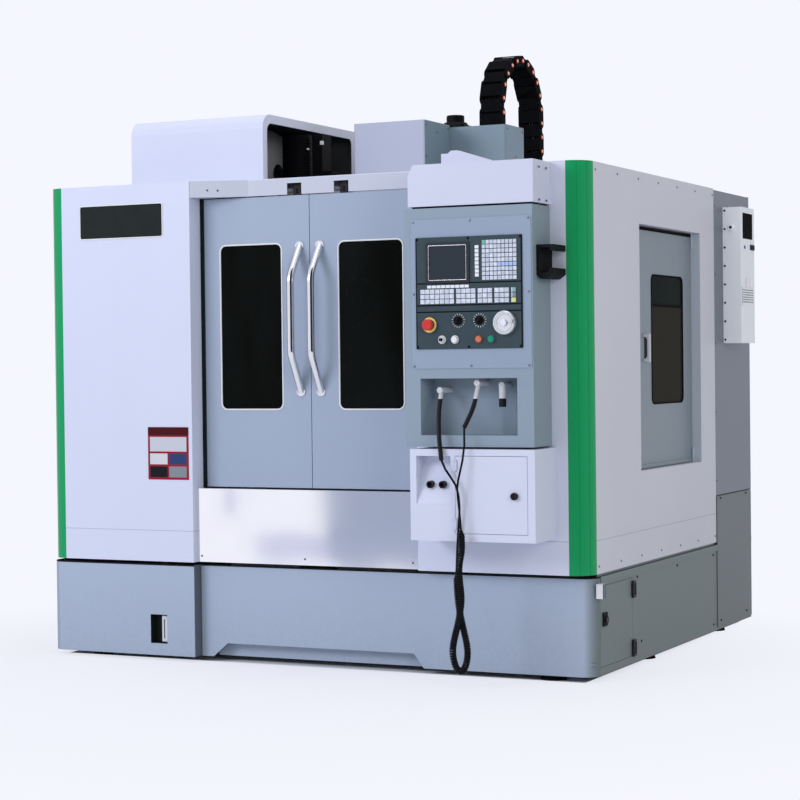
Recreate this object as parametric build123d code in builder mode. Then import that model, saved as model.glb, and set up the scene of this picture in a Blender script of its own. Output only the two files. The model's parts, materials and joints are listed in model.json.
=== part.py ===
from build123d import *
from math import cos, pi, radians, sin, tan
import os

# Vertical machining centre of 650 x 400 x 500 mm travel, in millimetres.
# X runs to the right, Y to the back, Z up. Inside the helpers below, x is measured from the
# middle of the guard and y from its front plane. The planes carry the whole machine so that
# the origin is on the floor in the middle of its footprint.

# Guard, the sheet metal enclosure
HALF_WIDTH = 1143.0
HEIGHT = 1850.0
GUARD_DEPTH = 1487.0
GUARD_FOOT = 385.0
SHEET = 3.0
CORNER = 76.0
CORNER_GROOVE = 3.0
BLOCK_DEPTH = 80.0
BLOCK_INNER = 478.0
RETURN_LIP = 25.0
RUN_GAP = 0.4

# Base skirt and feet
BASE_TOP = 374.0
BASE_FOOT = 20.0
BASE_SHEET = 4.0
BASE_STEP = 50.0
BASE_CORNER_R = 60.0
BASE_BACK = 1985.0
TOE_HEIGHT = 73.0
TOE_TOP_LEFT = -361.0
TOE_TOP_RIGHT = 432.0
TOE_FLARE_LEFT = 63.0
TOE_FLARE_RIGHT = 40.0
TOE_DEPTH = 45.0
POSTS_Y = [520.0, 1300.0, 1700.0]
POST_SETBACK = 16.0
GAUGE_X = -639.0
GAUGE_Z = 122.0
GAUGE_WIDTH = 76.0
GAUGE_HEIGHT = 112.0
GAUGE_DEPTH = 40.0
FOOT_PAD_R = 48.0
FOOT_PAD_HEIGHT = 14.0
FOOT_STUD_R = 10.0
FOOT_NUT_R = 17.0
FOOT_NUT_HEIGHT = 12.0
FOOT_PLATE = 8.0
FOOT_SPOTS = [(960, 110), (1080, 740), (1080, 1640)]
BED_FOOT_SPOTS = [(330, 300), (330, 1050), (330, 1800)]

# Door in the base's right side, in front of the coolant valves
BASE_DOOR_Y0 = 105.0
BASE_DOOR_Y1 = 445.0
BASE_DOOR_Z0 = 48.0
BASE_DOOR_Z1 = 340.0
BASE_HINGE_R = 6.0
BASE_HINGE_OUT = 3.4
BASE_HINGE_LENGTH = 46.0
BASE_HINGES_Z = [78.0, 296.0]
HINGE_PIN_R = 3.0
HINGE_LUG = 8.0
BASE_LOCK_Y = 150.0
BASE_LOCK_Z = 217.0
LOCK_R = 13.0
LOCK_OUT = 12.0

# Front sliding doors
DOOR_Y = 83.0
DOOR_THICK = 25.0
DOOR_SHEET = 2.5
DOOR_FOOT = 674.0
DOOR_TOP = HEIGHT - 67
DOOR_OVERLAP = 22.0
DOOR_MEET_GAP = 3.0
WINDOW_X = 256.0
WINDOW_WIDTH = 270.0
WINDOW_FOOT = 972.0
WINDOW_TOP = 1603.0
WINDOW_R = 25.0
WINDOW_LAP = 14.0
GLASS = 6.0
HANDLE_X = 43.0
HANDLE_R = 14.0
HANDLE_BEND_TOP = 1476.0
HANDLE_TOP = HANDLE_BEND_TOP + 114
HANDLE_BEND_FOOT = 1180.0
HANDLE_FOOT = HANDLE_BEND_FOOT - 140
HANDLE_OUT = 77.0
HANDLE_BEND_R = 90.0
HANDLE_FLANGE_R = 18.0

# Header over the doors, with the roller rail
LINTEL_FOOT = HEIGHT - 63
LINTEL_LEFT = -262.0
LINTEL_RIGHT = 475.0
NOTCH_WIDTH = 62.0
NOTCH_TOP = HEIGHT - 20
RAIL_Y = 125.0
RAIL_R = 9.0
RAIL_Z = HEIGHT - 44
HANGER_ROLLER_R = 12.0
HANGERS_LEFT = [-400.0, -62.0]
HANGERS_RIGHT = [138.0, 440.0]
RAIL_HALF = 1040.0
RAIL_POSTS_X = [-1000.0, -560.0, 38.0, 560.0, 1000.0]

# Stainless apron under the doors
APRON_Y = 23.0
APRON_TOP = 670.0
APRON_FOOT = 387.0

# Side door and its opening
SIDE_Y0 = 560.0
SIDE_Y1 = 1297.0
SIDE_Z0 = 728.0
SIDE_Z1 = 1655.0
SIDE_RECESS = 38.0
SIDE_LEAF = 20.0
SIDE_GAP = 3.0
SIDE_WIN_Y0 = 800.0
SIDE_WIN_Y1 = 1180.0
SIDE_WIN_Z0 = 975.0
SIDE_WIN_Z1 = 1473.0
SIDE_HINGE_R = 4.5
SIDE_HINGE_OUT = 5.0
SIDE_HANDLE_Y = 708.0
SIDE_HANDLE_Z0 = 1137.0
SIDE_HANDLE_Z1 = 1244.0
SIDE_HANDLE_OUT = 26.0

# Operator console
CON_X0 = 515.0
CON_X1 = 1007.0
CON_OUT = 165.0
CON_Z0 = 845.0
CON_Z1 = 1690.0
FACE_X0 = 543.0
FACE_X1 = 1002.0
FACE_Z0 = 1122.0
FACE_Z1 = 1651.0
FACE_THICK = 2.5
FASCIA_X0 = 562.0
FASCIA_X1 = 970.0
FASCIA_Z0 = 1191.0
FASCIA_Z1 = 1586.0
FASCIA_THICK = 4.0
SCREEN_X0 = 604.0
SCREEN_X1 = 771.0
SCREEN_Z0 = 1423.0
SCREEN_Z1 = 1567.0
SCREEN_THICK = 5.0
SCREEN_BEZEL = 12.0
KEY_OUT = 3.0
KEY_GAP = 2.5
PAD_SIDE_X0 = 793.0
PAD_SIDE_X1 = 807.0
PAD_SIDE_Z0 = 1443.0
PAD_SIDE_Z1 = 1553.0
PAD_SIDE_ROWS = 8
PAD_X0 = 820.0
PAD_X1 = 950.0
PAD_Z0 = 1431.0
PAD_Z1 = 1570.0
PAD_COLUMNS = 9
PAD_ROWS = 9
SOFT_X0 = 608.0
SOFT_X1 = 768.0
SOFT_Z0 = 1406.0
SOFT_Z1 = 1416.0
SOFT_KEYS = 9
STRIP_X0 = 581.0
STRIP_X1 = 949.0
STRIP_Z0 = 1351.0
STRIP_Z1 = 1402.0
STRIP_BLOCKS = [7, 4, 3, 3, 1]
STRIP_BLOCK_GAP = 7.0
STRIP_ROWS = 3
ESTOP_X = 615.0
ESTOP_Z = 1277.0
ESTOP_R = 20.0
ESTOP_RING_R = 30.0
ESTOP_TRAVEL = 5.0
KNOBS_X = [726.0, 808.0]
KNOBS_Z = 1290.0
KNOB_R = 15.0
KNOB_OUT = 20.0
WHEEL_X = 905.0
WHEEL_Z = 1280.0
WHEEL_R = 42.0
WHEEL_OUT = 16.0
KEY_SWITCH_X = 663.0
BUTTON_Z = 1224.0
BUTTONS_X = [713.0, 806.0, 853.0]
BUTTON_R = 11.0
BUTTON_OUT = 8.0
BUTTON_TRAVEL = 3.0
COLLAR_R = 15.0
COLLAR_OUT = 3.0
STEM_R = 5.0
STEM_GAP = 0.3
NICHE_X0 = 573.0
NICHE_X1 = 945.0
NICHE_Z0 = 886.0
NICHE_Z1 = 1087.0
NICHE_DEPTH = 120.0

# White cap over the console
CAP_X0 = 531.0
CAP_X1 = 1011.0
CAP_GAP = 7.0
CAP_SETBACK = 12.0
CAP_Z1 = HEIGHT - 4
CAP_CUT = 40.0
CAP_BACK = 60.0
BRACKET_X0 = 636.0
BRACKET_X1 = 828.0
BRACKET_TOP = CAP_Z1 + 50
BRACKET_LOW = CAP_Z1 + 16

# Holder for the hand pendant, on the console's side
HOLDER_Y0 = -131.0
HOLDER_Y1 = -9.0
HOLDER_Z0 = 1431.0
HOLDER_Z1 = 1550.0
HOLDER_OUT = 62.0
HOLDER_THICK = 11.0

# Storage box under the console
BOX_X0 = 542.0
BOX_X1 = 1020.0
BOX_OUT = 194.0
BOX_Z0 = 514.0
BOX_Z1 = 838.0
BOX_DOOR_X0 = 716.0
BOX_DOOR_X1 = 992.0
BOX_DOOR_Z0 = 541.0
BOX_DOOR_Z1 = 815.0
BOX_NICHE_X0 = 566.0
BOX_NICHE_X1 = 700.0
BOX_NICHE_Z0 = 645.0
BOX_NICHE_Z1 = 814.0
BOX_NICHE_DEPTH = 60.0
SOCKETS_X = [612.0, 660.0]
SOCKET_Z = 712.0
SOCKET_R = 13.0
BOX_LOCK_X = 944.0
BOX_LOCK_Z = 676.0
BOX_HINGES_Z = [575.0, 781.0]
BOX_HINGE_LENGTH = 30.0
BOX_HINGE_R = 4.0
BOX_PIN_R = 1.8
BOX_LUG = 5.0
DOOR_GAP = 1.5

# Electrical cabinet, its doors and its cooler
CAB_BACK = 2000.0
CAB_FOOT = 385.0
CAB_TOP = HEIGHT - 5
CAB_EDGE_R = 30.0
CAB_SEAM_Z = 578.0
CAB_WALL = 4.0
CAB_DOOR_THICK = 18.0
CAB_DOOR_EDGE = 30.0
CAB_DOOR_GAP = 4.0
CAB_HINGE_X = 1132.0
CAB_HINGE_Y = 1991.5
CAB_PIN = 10.0
CAB_HANDLE_X = 60.0
CAB_HANDLE_Z = 1170.0
CAB_HANDLE_LENGTH = 160.0
COOLER_Y0 = 1614.0
COOLER_Y1 = 1800.0
COOLER_Z0 = 1211.0
COOLER_Z1 = 1780.0
COOLER_OUT = 82.0
COOLER_WINDOW_HALF = 70.0
COOLER_WINDOW_Z0 = COOLER_Z1 - 132
COOLER_WINDOW_Z1 = COOLER_Z1 - 24
COOLER_GRILLE_Z = COOLER_Z0 + 197
COOLER_PLUG_Z = COOLER_Z1 - 85

# Castings and slides
BED_HALF = 420.0
BED_FRONT = 150.0
BED_BACK = 1850.0
BED_FOOT = 60.0
BED_TOP = 560.0
WAY_X = 190.0
WAY_WIDTH = 60.0
Y_WAY_TOP = 640.0
COLUMN_HALF = 250.0
COLUMN_FRONT = 1360.0
COLUMN_BACK = 1850.0
COLUMN_TOP = 1980.0
COLUMN_WALL = 45.0
Z_WAY_OUT = 25.0
Z_RECESS_HALF = 80.0
SCREW_Y = 1438.0
BALL_SCREW_R = 20.0
BALL_SCREW_FOOT = 640.0
SPINDLE_Y = 897.0
X_TRAVEL = 650.0
Y_TRAVEL = 400.0
Z_TRAVEL = 500.0
SADDLE_HALF_X = 420.0
SADDLE_HALF_Y = 200.0
SADDLE_TOP = 799.7
TABLE_LENGTH = 800.0
TABLE_WIDTH = 400.0
TABLE_TOP = 900.0
SLIDE_GAP = 0.3
SLOT_COUNT = 3
SLOT_PITCH = 125.0
SLOT_WIDTH = 18.0
SLOT_DEPTH = 30.0
SLOT_FOOT_WIDTH = 30.0
SLOT_FOOT_DEPTH = 13.0
WING_LENGTH = 335.0
WING_FOOT = 762.0
WING_OUT = 8.0
COVER_LENGTH = 330.0
COVER_SHEET = 3.0
COVER_STEP = 8.0
COVER_FOOT = 645.0

# Head, spindle and covers
NOSE_Z = 1500.0
NOSE_R = 44.0
NOSE_HEIGHT = 12.0
SPINDLE_R = 35.0
FIT = 0.05
TAPER_RATE = 7 / 24
DRAWBAR_R = 8.5
TAPER_MOUTH_R = 22.225
TAPER_LENGTH = 65.4
QUILL_R = 75.0
QUILL_HEIGHT = 90.0
HEAD_HALF = 135.0
HEAD_FRONT = 795.0
HEAD_TOP = 1900.0
HEAD_PLATE_HALF = 225.0
HEAD_PLATE = 45.0
HEAD_PLATE_Z0 = 1520.0
NUT_HALF = 55.0
NUT_Z0 = 1640.0
NUT_Z1 = 1740.0
MOTOR_HALF = 80.0
MOTOR_TOP = 2095.0
HOOD_HALF = 160.0
HOOD_Y0 = 775.0
HOOD_Y1 = 1020.0
HOOD_TOP = 2125.0
HOOD_FOOT = 1590.0
JUNCTION_X1 = 413.0
JUNCTION_Y1 = 1210.0
JUNCTION_TOP = 2115.0
HOOD_R = 8.0

# Servo motors
SERVO_HALF = 65.0
SERVO_BODY = 190.0
SERVO_CAP_R = 39.0
SERVO_CAP = 46.0
SERVO_FLARE = 14.0

# Cable chain
CHAIN_X0 = 261.0
CHAIN_X1 = 360.0
CHAIN_Y0 = 1100.0
CHAIN_Y1 = 1567.0
CHAIN_TOP = 2437.0
CHAIN_THICK = 45.0
CHAIN_SIDE = 9.0
CHAIN_LINKS = 18
CHAIN_BAR = 3.0
CHAIN_SLIT = 8.0
CHAIN_SHELF_Z = HEIGHT + 20
CHAIN_PIN_OUT = 1.5
CHAIN_PIN_R = 7.0

# Tool magazine
MAG_X0 = 103 - HALF_WIDTH
MAG_X1 = -415.0
MAG_Y0 = 470.0
MAG_Y1 = 1290.0
MAG_TOP = HEIGHT + 305
MAG_R = 60.0
MAG_LIP = 35.0
DISC_X = -640.0
DISC_Y = 897.0
DISC_Z = 1825.0
DISC_R = 312.0
DISC_THICK = 16.0
POT_COUNT = 20
POT_PITCH_R = 282.0
POT_R = 31.0
POT_BORE_R = 22.5
POT_LENGTH = 88.0
ARM_X = -330.0
ARM_Z = 1445.0
ARM_THICK = 28.0
ARM_WIDTH = 80.0
ARM_GRIP_R = 33.0
ARM_SHAFT_R = 32.0
CAM_HALF = 85.0
CAM_FOOT = 1600.0
CAM_TOP = 1860.0
BEAM_Z0 = 1650.0
BEAM_Z1 = 1770.0
JOURNAL_R = 30.0
ARM_MOTOR_X = -490.0
ARM_MOTOR_R = 62.0
ARM_MOTOR_Z0 = 1915.0
ARM_MOTOR_Z1 = 2117.0

# Hoses in front of the storage box
HOSE_R = 4.0
CURL_R = 13.0
VALVE_R = 11.0
GRIP_R = 8.0

# Back face of the head's guide plate, which runs on the column's ways
plate_back = COLUMN_FRONT - Z_WAY_OUT - SLIDE_GAP

# The footprint decides where the origin is
FRONT_REACH = BOX_OUT + LOCK_OUT
RIGHT_REACH = HALF_WIDTH + COOLER_OUT
REAR_REACH = CAB_BACK
MID_X = (HALF_WIDTH - RIGHT_REACH) / 2
FRONT_Y = (FRONT_REACH - REAR_REACH) / 2


def level(z):
    """A horizontal plane at height z, facing up; its u is x and its v is y."""
    return Plane(origin=(MID_X, FRONT_Y, z), x_dir=(1, 0, 0), z_dir=(0, 0, 1))


def front(y):
    """A plane parallel to the front at depth y, facing forward; its u is x and its v is z."""
    return Plane(origin=(MID_X, FRONT_Y + y, 0), x_dir=(1, 0, 0), z_dir=(0, -1, 0))


def side(x):
    """A plane parallel to the sides, facing right; its u is y and its v is z."""
    return Plane(origin=(MID_X + x, FRONT_Y, 0), x_dir=(0, 1, 0), z_dir=(1, 0, 0))


def at(x, y, z):
    """A point of the machine in the part's own frame."""
    return (MID_X + x, FRONT_Y + y, z)


def block(x0, x1, y0, y1, z0, z1, mode=Mode.ADD):
    """A rectangular block between two corners."""
    with BuildSketch(level(z0)) as outline:
        with Locations(((x0 + x1) / 2, (y0 + y1) / 2)):
            Rectangle(x1 - x0, y1 - y0)
    extrude(outline.sketch, amount=z1 - z0, mode=mode)


def front_pad(x0, x1, z0, z1, y, depth, radius=0.0, mode=Mode.ADD):
    """A plate seen from the front, its front face at y, with rounded corners."""
    with BuildSketch(front(y)) as outline:
        with Locations(((x0 + x1) / 2, (z0 + z1) / 2)):
            if radius:
                RectangleRounded(x1 - x0, z1 - z0, radius)
            else:
                Rectangle(x1 - x0, z1 - z0)
    extrude(outline.sketch, amount=-depth, mode=mode)


def side_pad(y0, y1, z0, z1, x, depth, radius=0.0, mode=Mode.ADD):
    """A plate seen from the right, its outer face at x, with rounded corners."""
    with BuildSketch(side(x)) as outline:
        with Locations(((y0 + y1) / 2, (z0 + z1) / 2)):
            if radius:
                RectangleRounded(y1 - y0, z1 - z0, radius)
            else:
                Rectangle(y1 - y0, z1 - z0)
    extrude(outline.sketch, amount=-depth, mode=mode)


def disc(plane, u, v, radius, amount, mode=Mode.ADD):
    """A round bar from the point u, v of a plane, along its normal."""
    with BuildSketch(plane) as outline:
        with Locations((u, v)):
            Circle(radius)
    extrude(outline.sketch, amount=amount, mode=mode)


def prism(plane, points, amount, mode=Mode.ADD):
    """A straight-sided outline on a plane, extruded along its normal."""
    with BuildSketch(plane) as outline:
        with BuildLine():
            Polyline(*points, close=True)
        make_face()
    extrude(outline.sketch, amount=amount, mode=mode)


def keep(part, name):
    """Name a finished piece and write its file."""
    part.label = name
    export_step(part, f"parts/{name}.step")


os.makedirs("parts", exist_ok=True)

# Levelling feet: pad, stud, lock nut and the plate that the stud is screwed into
feet = [(s * x, y) for x, y in FOOT_SPOTS + BED_FOOT_SPOTS for s in (-1, 1)]
frame_feet = [(s * x, y) for x, y in FOOT_SPOTS for s in (-1, 1)]
with BuildPart() as levelling_feet:
    with BuildSketch(level(0)):
        with Locations(*feet):
            Circle(FOOT_PAD_R)
    extrude(amount=FOOT_PAD_HEIGHT, taper=20)
    with BuildSketch(level(FOOT_PAD_HEIGHT)):
        with Locations(*feet):
            Circle(FOOT_STUD_R)
    extrude(amount=BED_FOOT - FOOT_PAD_HEIGHT)
    with BuildSketch(level(FOOT_PAD_HEIGHT + FOOT_NUT_HEIGHT)):
        with Locations(*feet):
            RegularPolygon(FOOT_NUT_R, 6)
    extrude(amount=FOOT_NUT_HEIGHT)
keep(levelling_feet.part, "levelling_feet")

# Base skirt: a folded sheet ring with a stepped front, foot shelves, gauge pocket and toe recess
skirt_line = [
    (-HALF_WIDTH, BASE_BACK),
    (-HALF_WIDTH, 0),
    (-BLOCK_INNER, 0),
    (-BLOCK_INNER, BASE_STEP),
    (HALF_WIDTH, BASE_STEP),
    (HALF_WIDTH, BASE_BACK),
]
toe_line = [
    (TOE_TOP_LEFT - TOE_FLARE_LEFT, BASE_FOOT),
    (TOE_TOP_RIGHT + TOE_FLARE_RIGHT, BASE_FOOT),
    (TOE_TOP_RIGHT, TOE_HEIGHT),
    (TOE_TOP_LEFT, TOE_HEIGHT),
]
base_hinge_x = HALF_WIDTH + BASE_HINGE_OUT
base_hinge_y = BASE_DOOR_Y1 - BASE_HINGE_R
half_hinge = BASE_HINGE_LENGTH / 2
with BuildPart() as base_cover:
    prism(level(BASE_FOOT), skirt_line, BASE_TOP - BASE_FOOT)
    corners = [
        e for e in base_cover.edges().filter_by(Axis.Z)
        if abs(abs(e.center().X - MID_X) - HALF_WIDTH) < 1 and e.center().Y < 0
    ]
    fillet(corners, BASE_CORNER_R)
    offset(
        amount=-BASE_SHEET,
        openings=[base_cover.faces().sort_by(Axis.Z)[0], base_cover.faces().sort_by(Axis.Z)[-1]],
    )
    # Shelves inside the skirt, where the studs of its feet are screwed in
    for foot_x, foot_y in frame_feet:
        wall = HALF_WIDTH - BASE_SHEET
        x0, x1 = (foot_x - FOOT_PAD_R, wall) if foot_x > 0 else (-wall, foot_x + FOOT_PAD_R)
        block(x0, x1, foot_y - FOOT_PAD_R, foot_y + FOOT_PAD_R, BED_FOOT, BED_FOOT + FOOT_PLATE)
    prism(front(BASE_STEP - 1), toe_line, -BASE_SHEET - 2, Mode.SUBTRACT)
    # The toe panel stands back from the skirt on its own folded top
    block(
        TOE_TOP_LEFT - TOE_FLARE_LEFT, TOE_TOP_RIGHT + TOE_FLARE_RIGHT,
        BASE_STEP + TOE_DEPTH, BASE_STEP + TOE_DEPTH + BASE_SHEET, BASE_FOOT, TOE_HEIGHT + BASE_SHEET,
    )
    block(
        TOE_TOP_LEFT - TOE_FLARE_LEFT, TOE_TOP_RIGHT + TOE_FLARE_RIGHT,
        BASE_STEP, BASE_STEP + TOE_DEPTH, TOE_HEIGHT, TOE_HEIGHT + BASE_SHEET,
    )
    # Gauge window, with a pocket behind it and the white gauge body in its right half
    gauge = (
        GAUGE_X - GAUGE_WIDTH / 2, GAUGE_X + GAUGE_WIDTH / 2,
        GAUGE_Z - GAUGE_HEIGHT / 2, GAUGE_Z + GAUGE_HEIGHT / 2,
    )
    block(
        gauge[0] - BASE_SHEET, gauge[1] + BASE_SHEET, BASE_SHEET, GAUGE_DEPTH + BASE_SHEET,
        gauge[2] - BASE_SHEET, gauge[3] + BASE_SHEET,
    )
    block(gauge[0], gauge[1], -1, GAUGE_DEPTH, gauge[2], gauge[3], Mode.SUBTRACT)
    block(GAUGE_X + 6, gauge[1] - 8, GAUGE_DEPTH - 26, GAUGE_DEPTH, gauge[2] + 6, gauge[3] - 6)
    # Opening for the hinged door, with the door's two hinge barrels
    side_pad(BASE_DOOR_Y0, BASE_DOOR_Y1, BASE_DOOR_Z0, BASE_DOOR_Z1, HALF_WIDTH + 1, BASE_SHEET + 2,
             mode=Mode.SUBTRACT)
    # Uprights inside the skirt, which the guard's bottom folds rest on
    for s in (-1, 1):
        for y in POSTS_Y:
            ends = sorted([s * (HALF_WIDTH - BASE_SHEET / 2), s * (HALF_WIDTH - 28)])
            block(ends[0], ends[1], y - 20, y + 20, BASE_TOP - 40, BASE_TOP - 12)
            ends = sorted([s * (HALF_WIDTH - POST_SETBACK), s * (HALF_WIDTH - 28)])
            block(ends[0], ends[1], y - 20, y + 20, BASE_TOP - 12, GUARD_FOOT)
        ends = sorted([s * 600, s * 640])
        skirt_y = BASE_STEP if s > 0 else 1
        block(ends[0], ends[1], skirt_y, BLOCK_DEPTH - 4, BASE_TOP - 40, BASE_TOP - 12)
        block(ends[0], ends[1], skirt_y + 18, BLOCK_DEPTH - 4, BASE_TOP - 12, GUARD_FOOT)
    # Hinge lugs behind the opening, with a pin between each pair
    for z in BASE_HINGES_Z:
        for lug_z in (z - half_hinge - HINGE_LUG, z + half_hinge + SLIDE_GAP):
            block(
                HALF_WIDTH + RUN_GAP, HALF_WIDTH + 9, base_hinge_y, BASE_DOOR_Y1 + 22,
                lug_z, lug_z + HINGE_LUG - SLIDE_GAP,
            )
            block(
                HALF_WIDTH - 1, HALF_WIDTH + 1, BASE_DOOR_Y1 + 2, BASE_DOOR_Y1 + 22,
                lug_z, lug_z + HINGE_LUG - SLIDE_GAP,
            )
        disc(
            level(z - half_hinge - HINGE_LUG), base_hinge_x, base_hinge_y, HINGE_PIN_R,
            BASE_HINGE_LENGTH + 2 * HINGE_LUG,
        )
    # Ledge under the guard
    side_pad(BASE_STEP + BASE_CORNER_R, BASE_BACK, BASE_TOP - 24, BASE_TOP, HALF_WIDTH + 3, 3)
keep(base_cover.part, "base_cover")

# Door in the base skirt: a flat leaf with hinge knuckles at its back edge and a turned lock
with BuildPart() as base_door:
    side_pad(
        BASE_DOOR_Y0 + DOOR_GAP, BASE_DOOR_Y1 - DOOR_GAP,
        BASE_DOOR_Z0 + DOOR_GAP, BASE_DOOR_Z1 - DOOR_GAP, HALF_WIDTH, BASE_SHEET,
    )
    for z in BASE_HINGES_Z:
        foot = level(z - BASE_HINGE_LENGTH / 2)
        disc(foot, base_hinge_x, base_hinge_y, BASE_HINGE_R, BASE_HINGE_LENGTH)
        disc(foot, base_hinge_x, base_hinge_y, HINGE_PIN_R + FIT, BASE_HINGE_LENGTH, Mode.SUBTRACT)
    disc(side(HALF_WIDTH), BASE_LOCK_Y, BASE_LOCK_Z, LOCK_R, LOCK_OUT)
    side_pad(
        BASE_LOCK_Y - 3, BASE_LOCK_Y + 3, BASE_LOCK_Z - LOCK_R - 1, BASE_LOCK_Z + LOCK_R + 1,
        HALF_WIDTH + LOCK_OUT + 1, 5, mode=Mode.SUBTRACT,
    )
keep(base_door.part, "base_door")

# Bed: a ribbed box casting that carries the column behind and two box ways in front
with BuildPart() as bed_casting:
    block(-BED_HALF, BED_HALF, BED_FRONT, BED_BACK, BED_FOOT, BED_TOP)
    bed_edges = bed_casting.edges().filter_by(Axis.Z)
    chamfer(bed_edges, 25)
    # Cored pockets under the ways leave walls, ribs and an open underside
    for x in (-1, 1):
        for y0 in (BED_FRONT + 60, BED_FRONT + 640, BED_FRONT + 1220):
            block(
                x * BED_HALF / 2 - 150, x * BED_HALF / 2 + 150, y0, y0 + 500,
                BED_FOOT + 40, BED_TOP - 50, Mode.SUBTRACT,
            )
    for x in (-WAY_X, WAY_X):
        block(
            x - WAY_WIDTH / 2, x + WAY_WIDTH / 2, BED_FRONT + 60, COLUMN_FRONT - 20, BED_TOP, Y_WAY_TOP,
        )
keep(bed_casting.part, "bed_casting")

# Column: a hollow box with two guide ways and a recess for the ball screw in its front
with BuildPart() as column:
    block(-COLUMN_HALF, COLUMN_HALF, COLUMN_FRONT, COLUMN_BACK, BED_TOP, COLUMN_TOP)
    chamfer(column.edges().filter_by(Axis.Z).group_by(Axis.Y)[-1], 30)
    block(
        -COLUMN_HALF + COLUMN_WALL, COLUMN_HALF - COLUMN_WALL,
        SCREW_Y + Z_RECESS_HALF + COLUMN_WALL, COLUMN_BACK - COLUMN_WALL,
        BED_TOP + COLUMN_WALL, COLUMN_TOP - COLUMN_WALL, Mode.SUBTRACT,
    )
    for x in (-WAY_X, WAY_X):
        block(
            x - WAY_WIDTH / 2, x + WAY_WIDTH / 2, COLUMN_FRONT - Z_WAY_OUT, COLUMN_FRONT,
            BED_TOP + 200, COLUMN_TOP,
        )
    block(
        -Z_RECESS_HALF, Z_RECESS_HALF, COLUMN_FRONT - 1, SCREW_Y + Z_RECESS_HALF,
        BED_TOP + 60, COLUMN_TOP - COLUMN_WALL / 2, Mode.SUBTRACT,
    )
    # Shelf on the right for the cable chain's fixed end
    block(
        COLUMN_HALF - 1, CHAIN_X1 + 6, CHAIN_Y1 - CHAIN_THICK - 8, CHAIN_Y1 + 8,
        CHAIN_SHELF_Z - 14, CHAIN_SHELF_Z,
    )
    # Bore in the top plate for the screw's upper journal
    disc(level(COLUMN_TOP + 1), 0, SCREW_Y, BALL_SCREW_R + 15, -COLUMN_WALL, Mode.SUBTRACT)
keep(column.part, "column")

# Z ball screw: a ground shaft between the recess's floor and the motor
with BuildPart() as z_ball_screw:
    disc(level(BED_TOP + 60 + RUN_GAP), 0, SCREW_Y, BALL_SCREW_R - 6, COLUMN_TOP - BED_TOP - 60 - 2 * RUN_GAP)
    disc(level(BALL_SCREW_FOOT + 20), 0, SCREW_Y, BALL_SCREW_R, COLUMN_TOP - BALL_SCREW_FOOT - 80)
keep(z_ball_screw.part, "z_ball_screw")

# Drive motors: the Z servo on the column, the Y servo in the bed's front, and the magazine's
# arm motor with its terminal box
with BuildPart() as drive_motors:
    with BuildSketch(level(COLUMN_TOP)):
        with Locations((0, SCREW_Y)):
            RectangleRounded(2 * SERVO_HALF, 2 * SERVO_HALF, 12)
    extrude(amount=SERVO_BODY)
    with BuildSketch(level(COLUMN_TOP + SERVO_BODY)):
        with Locations((0, SCREW_Y)):
            Circle(SERVO_HALF - 6)
    extrude(amount=SERVO_FLARE, taper=35)
    disc(level(COLUMN_TOP + SERVO_BODY), 0, SCREW_Y, SERVO_CAP_R, SERVO_CAP)
    fillet(drive_motors.faces().sort_by(Axis.Z)[-1].edges(), 6)
    # Connector on the motor's back
    block(-22, 22, SCREW_Y + SERVO_HALF, SCREW_Y + SERVO_HALF + 26, COLUMN_TOP + 120, COLUMN_TOP + 165)
    # Y servo, hung on the bed's front end
    with BuildSketch(front(BED_FRONT)):
        with Locations((0, (BED_FOOT + BED_TOP) / 2)):
            RectangleRounded(2 * SERVO_HALF, 2 * SERVO_HALF, 12)
    extrude(amount=SERVO_BODY / 2)
    # Arm motor with cooling ribs and a domed cap
    disc(level(ARM_MOTOR_Z0), ARM_MOTOR_X, SPINDLE_Y, ARM_MOTOR_R, ARM_MOTOR_Z1 - ARM_MOTOR_Z0)
    fillet(
        drive_motors.edges().filter_by(GeomType.CIRCLE).filter_by(
            lambda e: abs(e.arc_center.Z - ARM_MOTOR_Z1) < 1), 14
    )
    # Its terminal box, on the cam box
    block(ARM_X - 65, ARM_X - 20, SPINDLE_Y - 40, SPINDLE_Y + 40, CAM_TOP, ARM_MOTOR_Z1 - 12)
    block(ARM_X - 20, ARM_X + 16, SPINDLE_Y - 25, SPINDLE_Y + 25, CAM_TOP, CAM_TOP + 90)
keep(drive_motors.part, "drive_motors")

def roof_cover(y0, y1, step):
    """One folded Y cover: a roof and two skirts, step sizes larger than the saddle's own."""
    half = BED_HALF - 60 + step * COVER_STEP
    top = SADDLE_TOP - 60 + step * COVER_STEP
    block(-half, half, y0, y1, COVER_FOOT, top)
    block(
        -half + COVER_SHEET, half - COVER_SHEET, y0 - 1, y1 + 1, COVER_FOOT - 1, top - COVER_SHEET,
        Mode.SUBTRACT,
    )


saddle_front = SPINDLE_Y - SADDLE_HALF_Y
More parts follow.
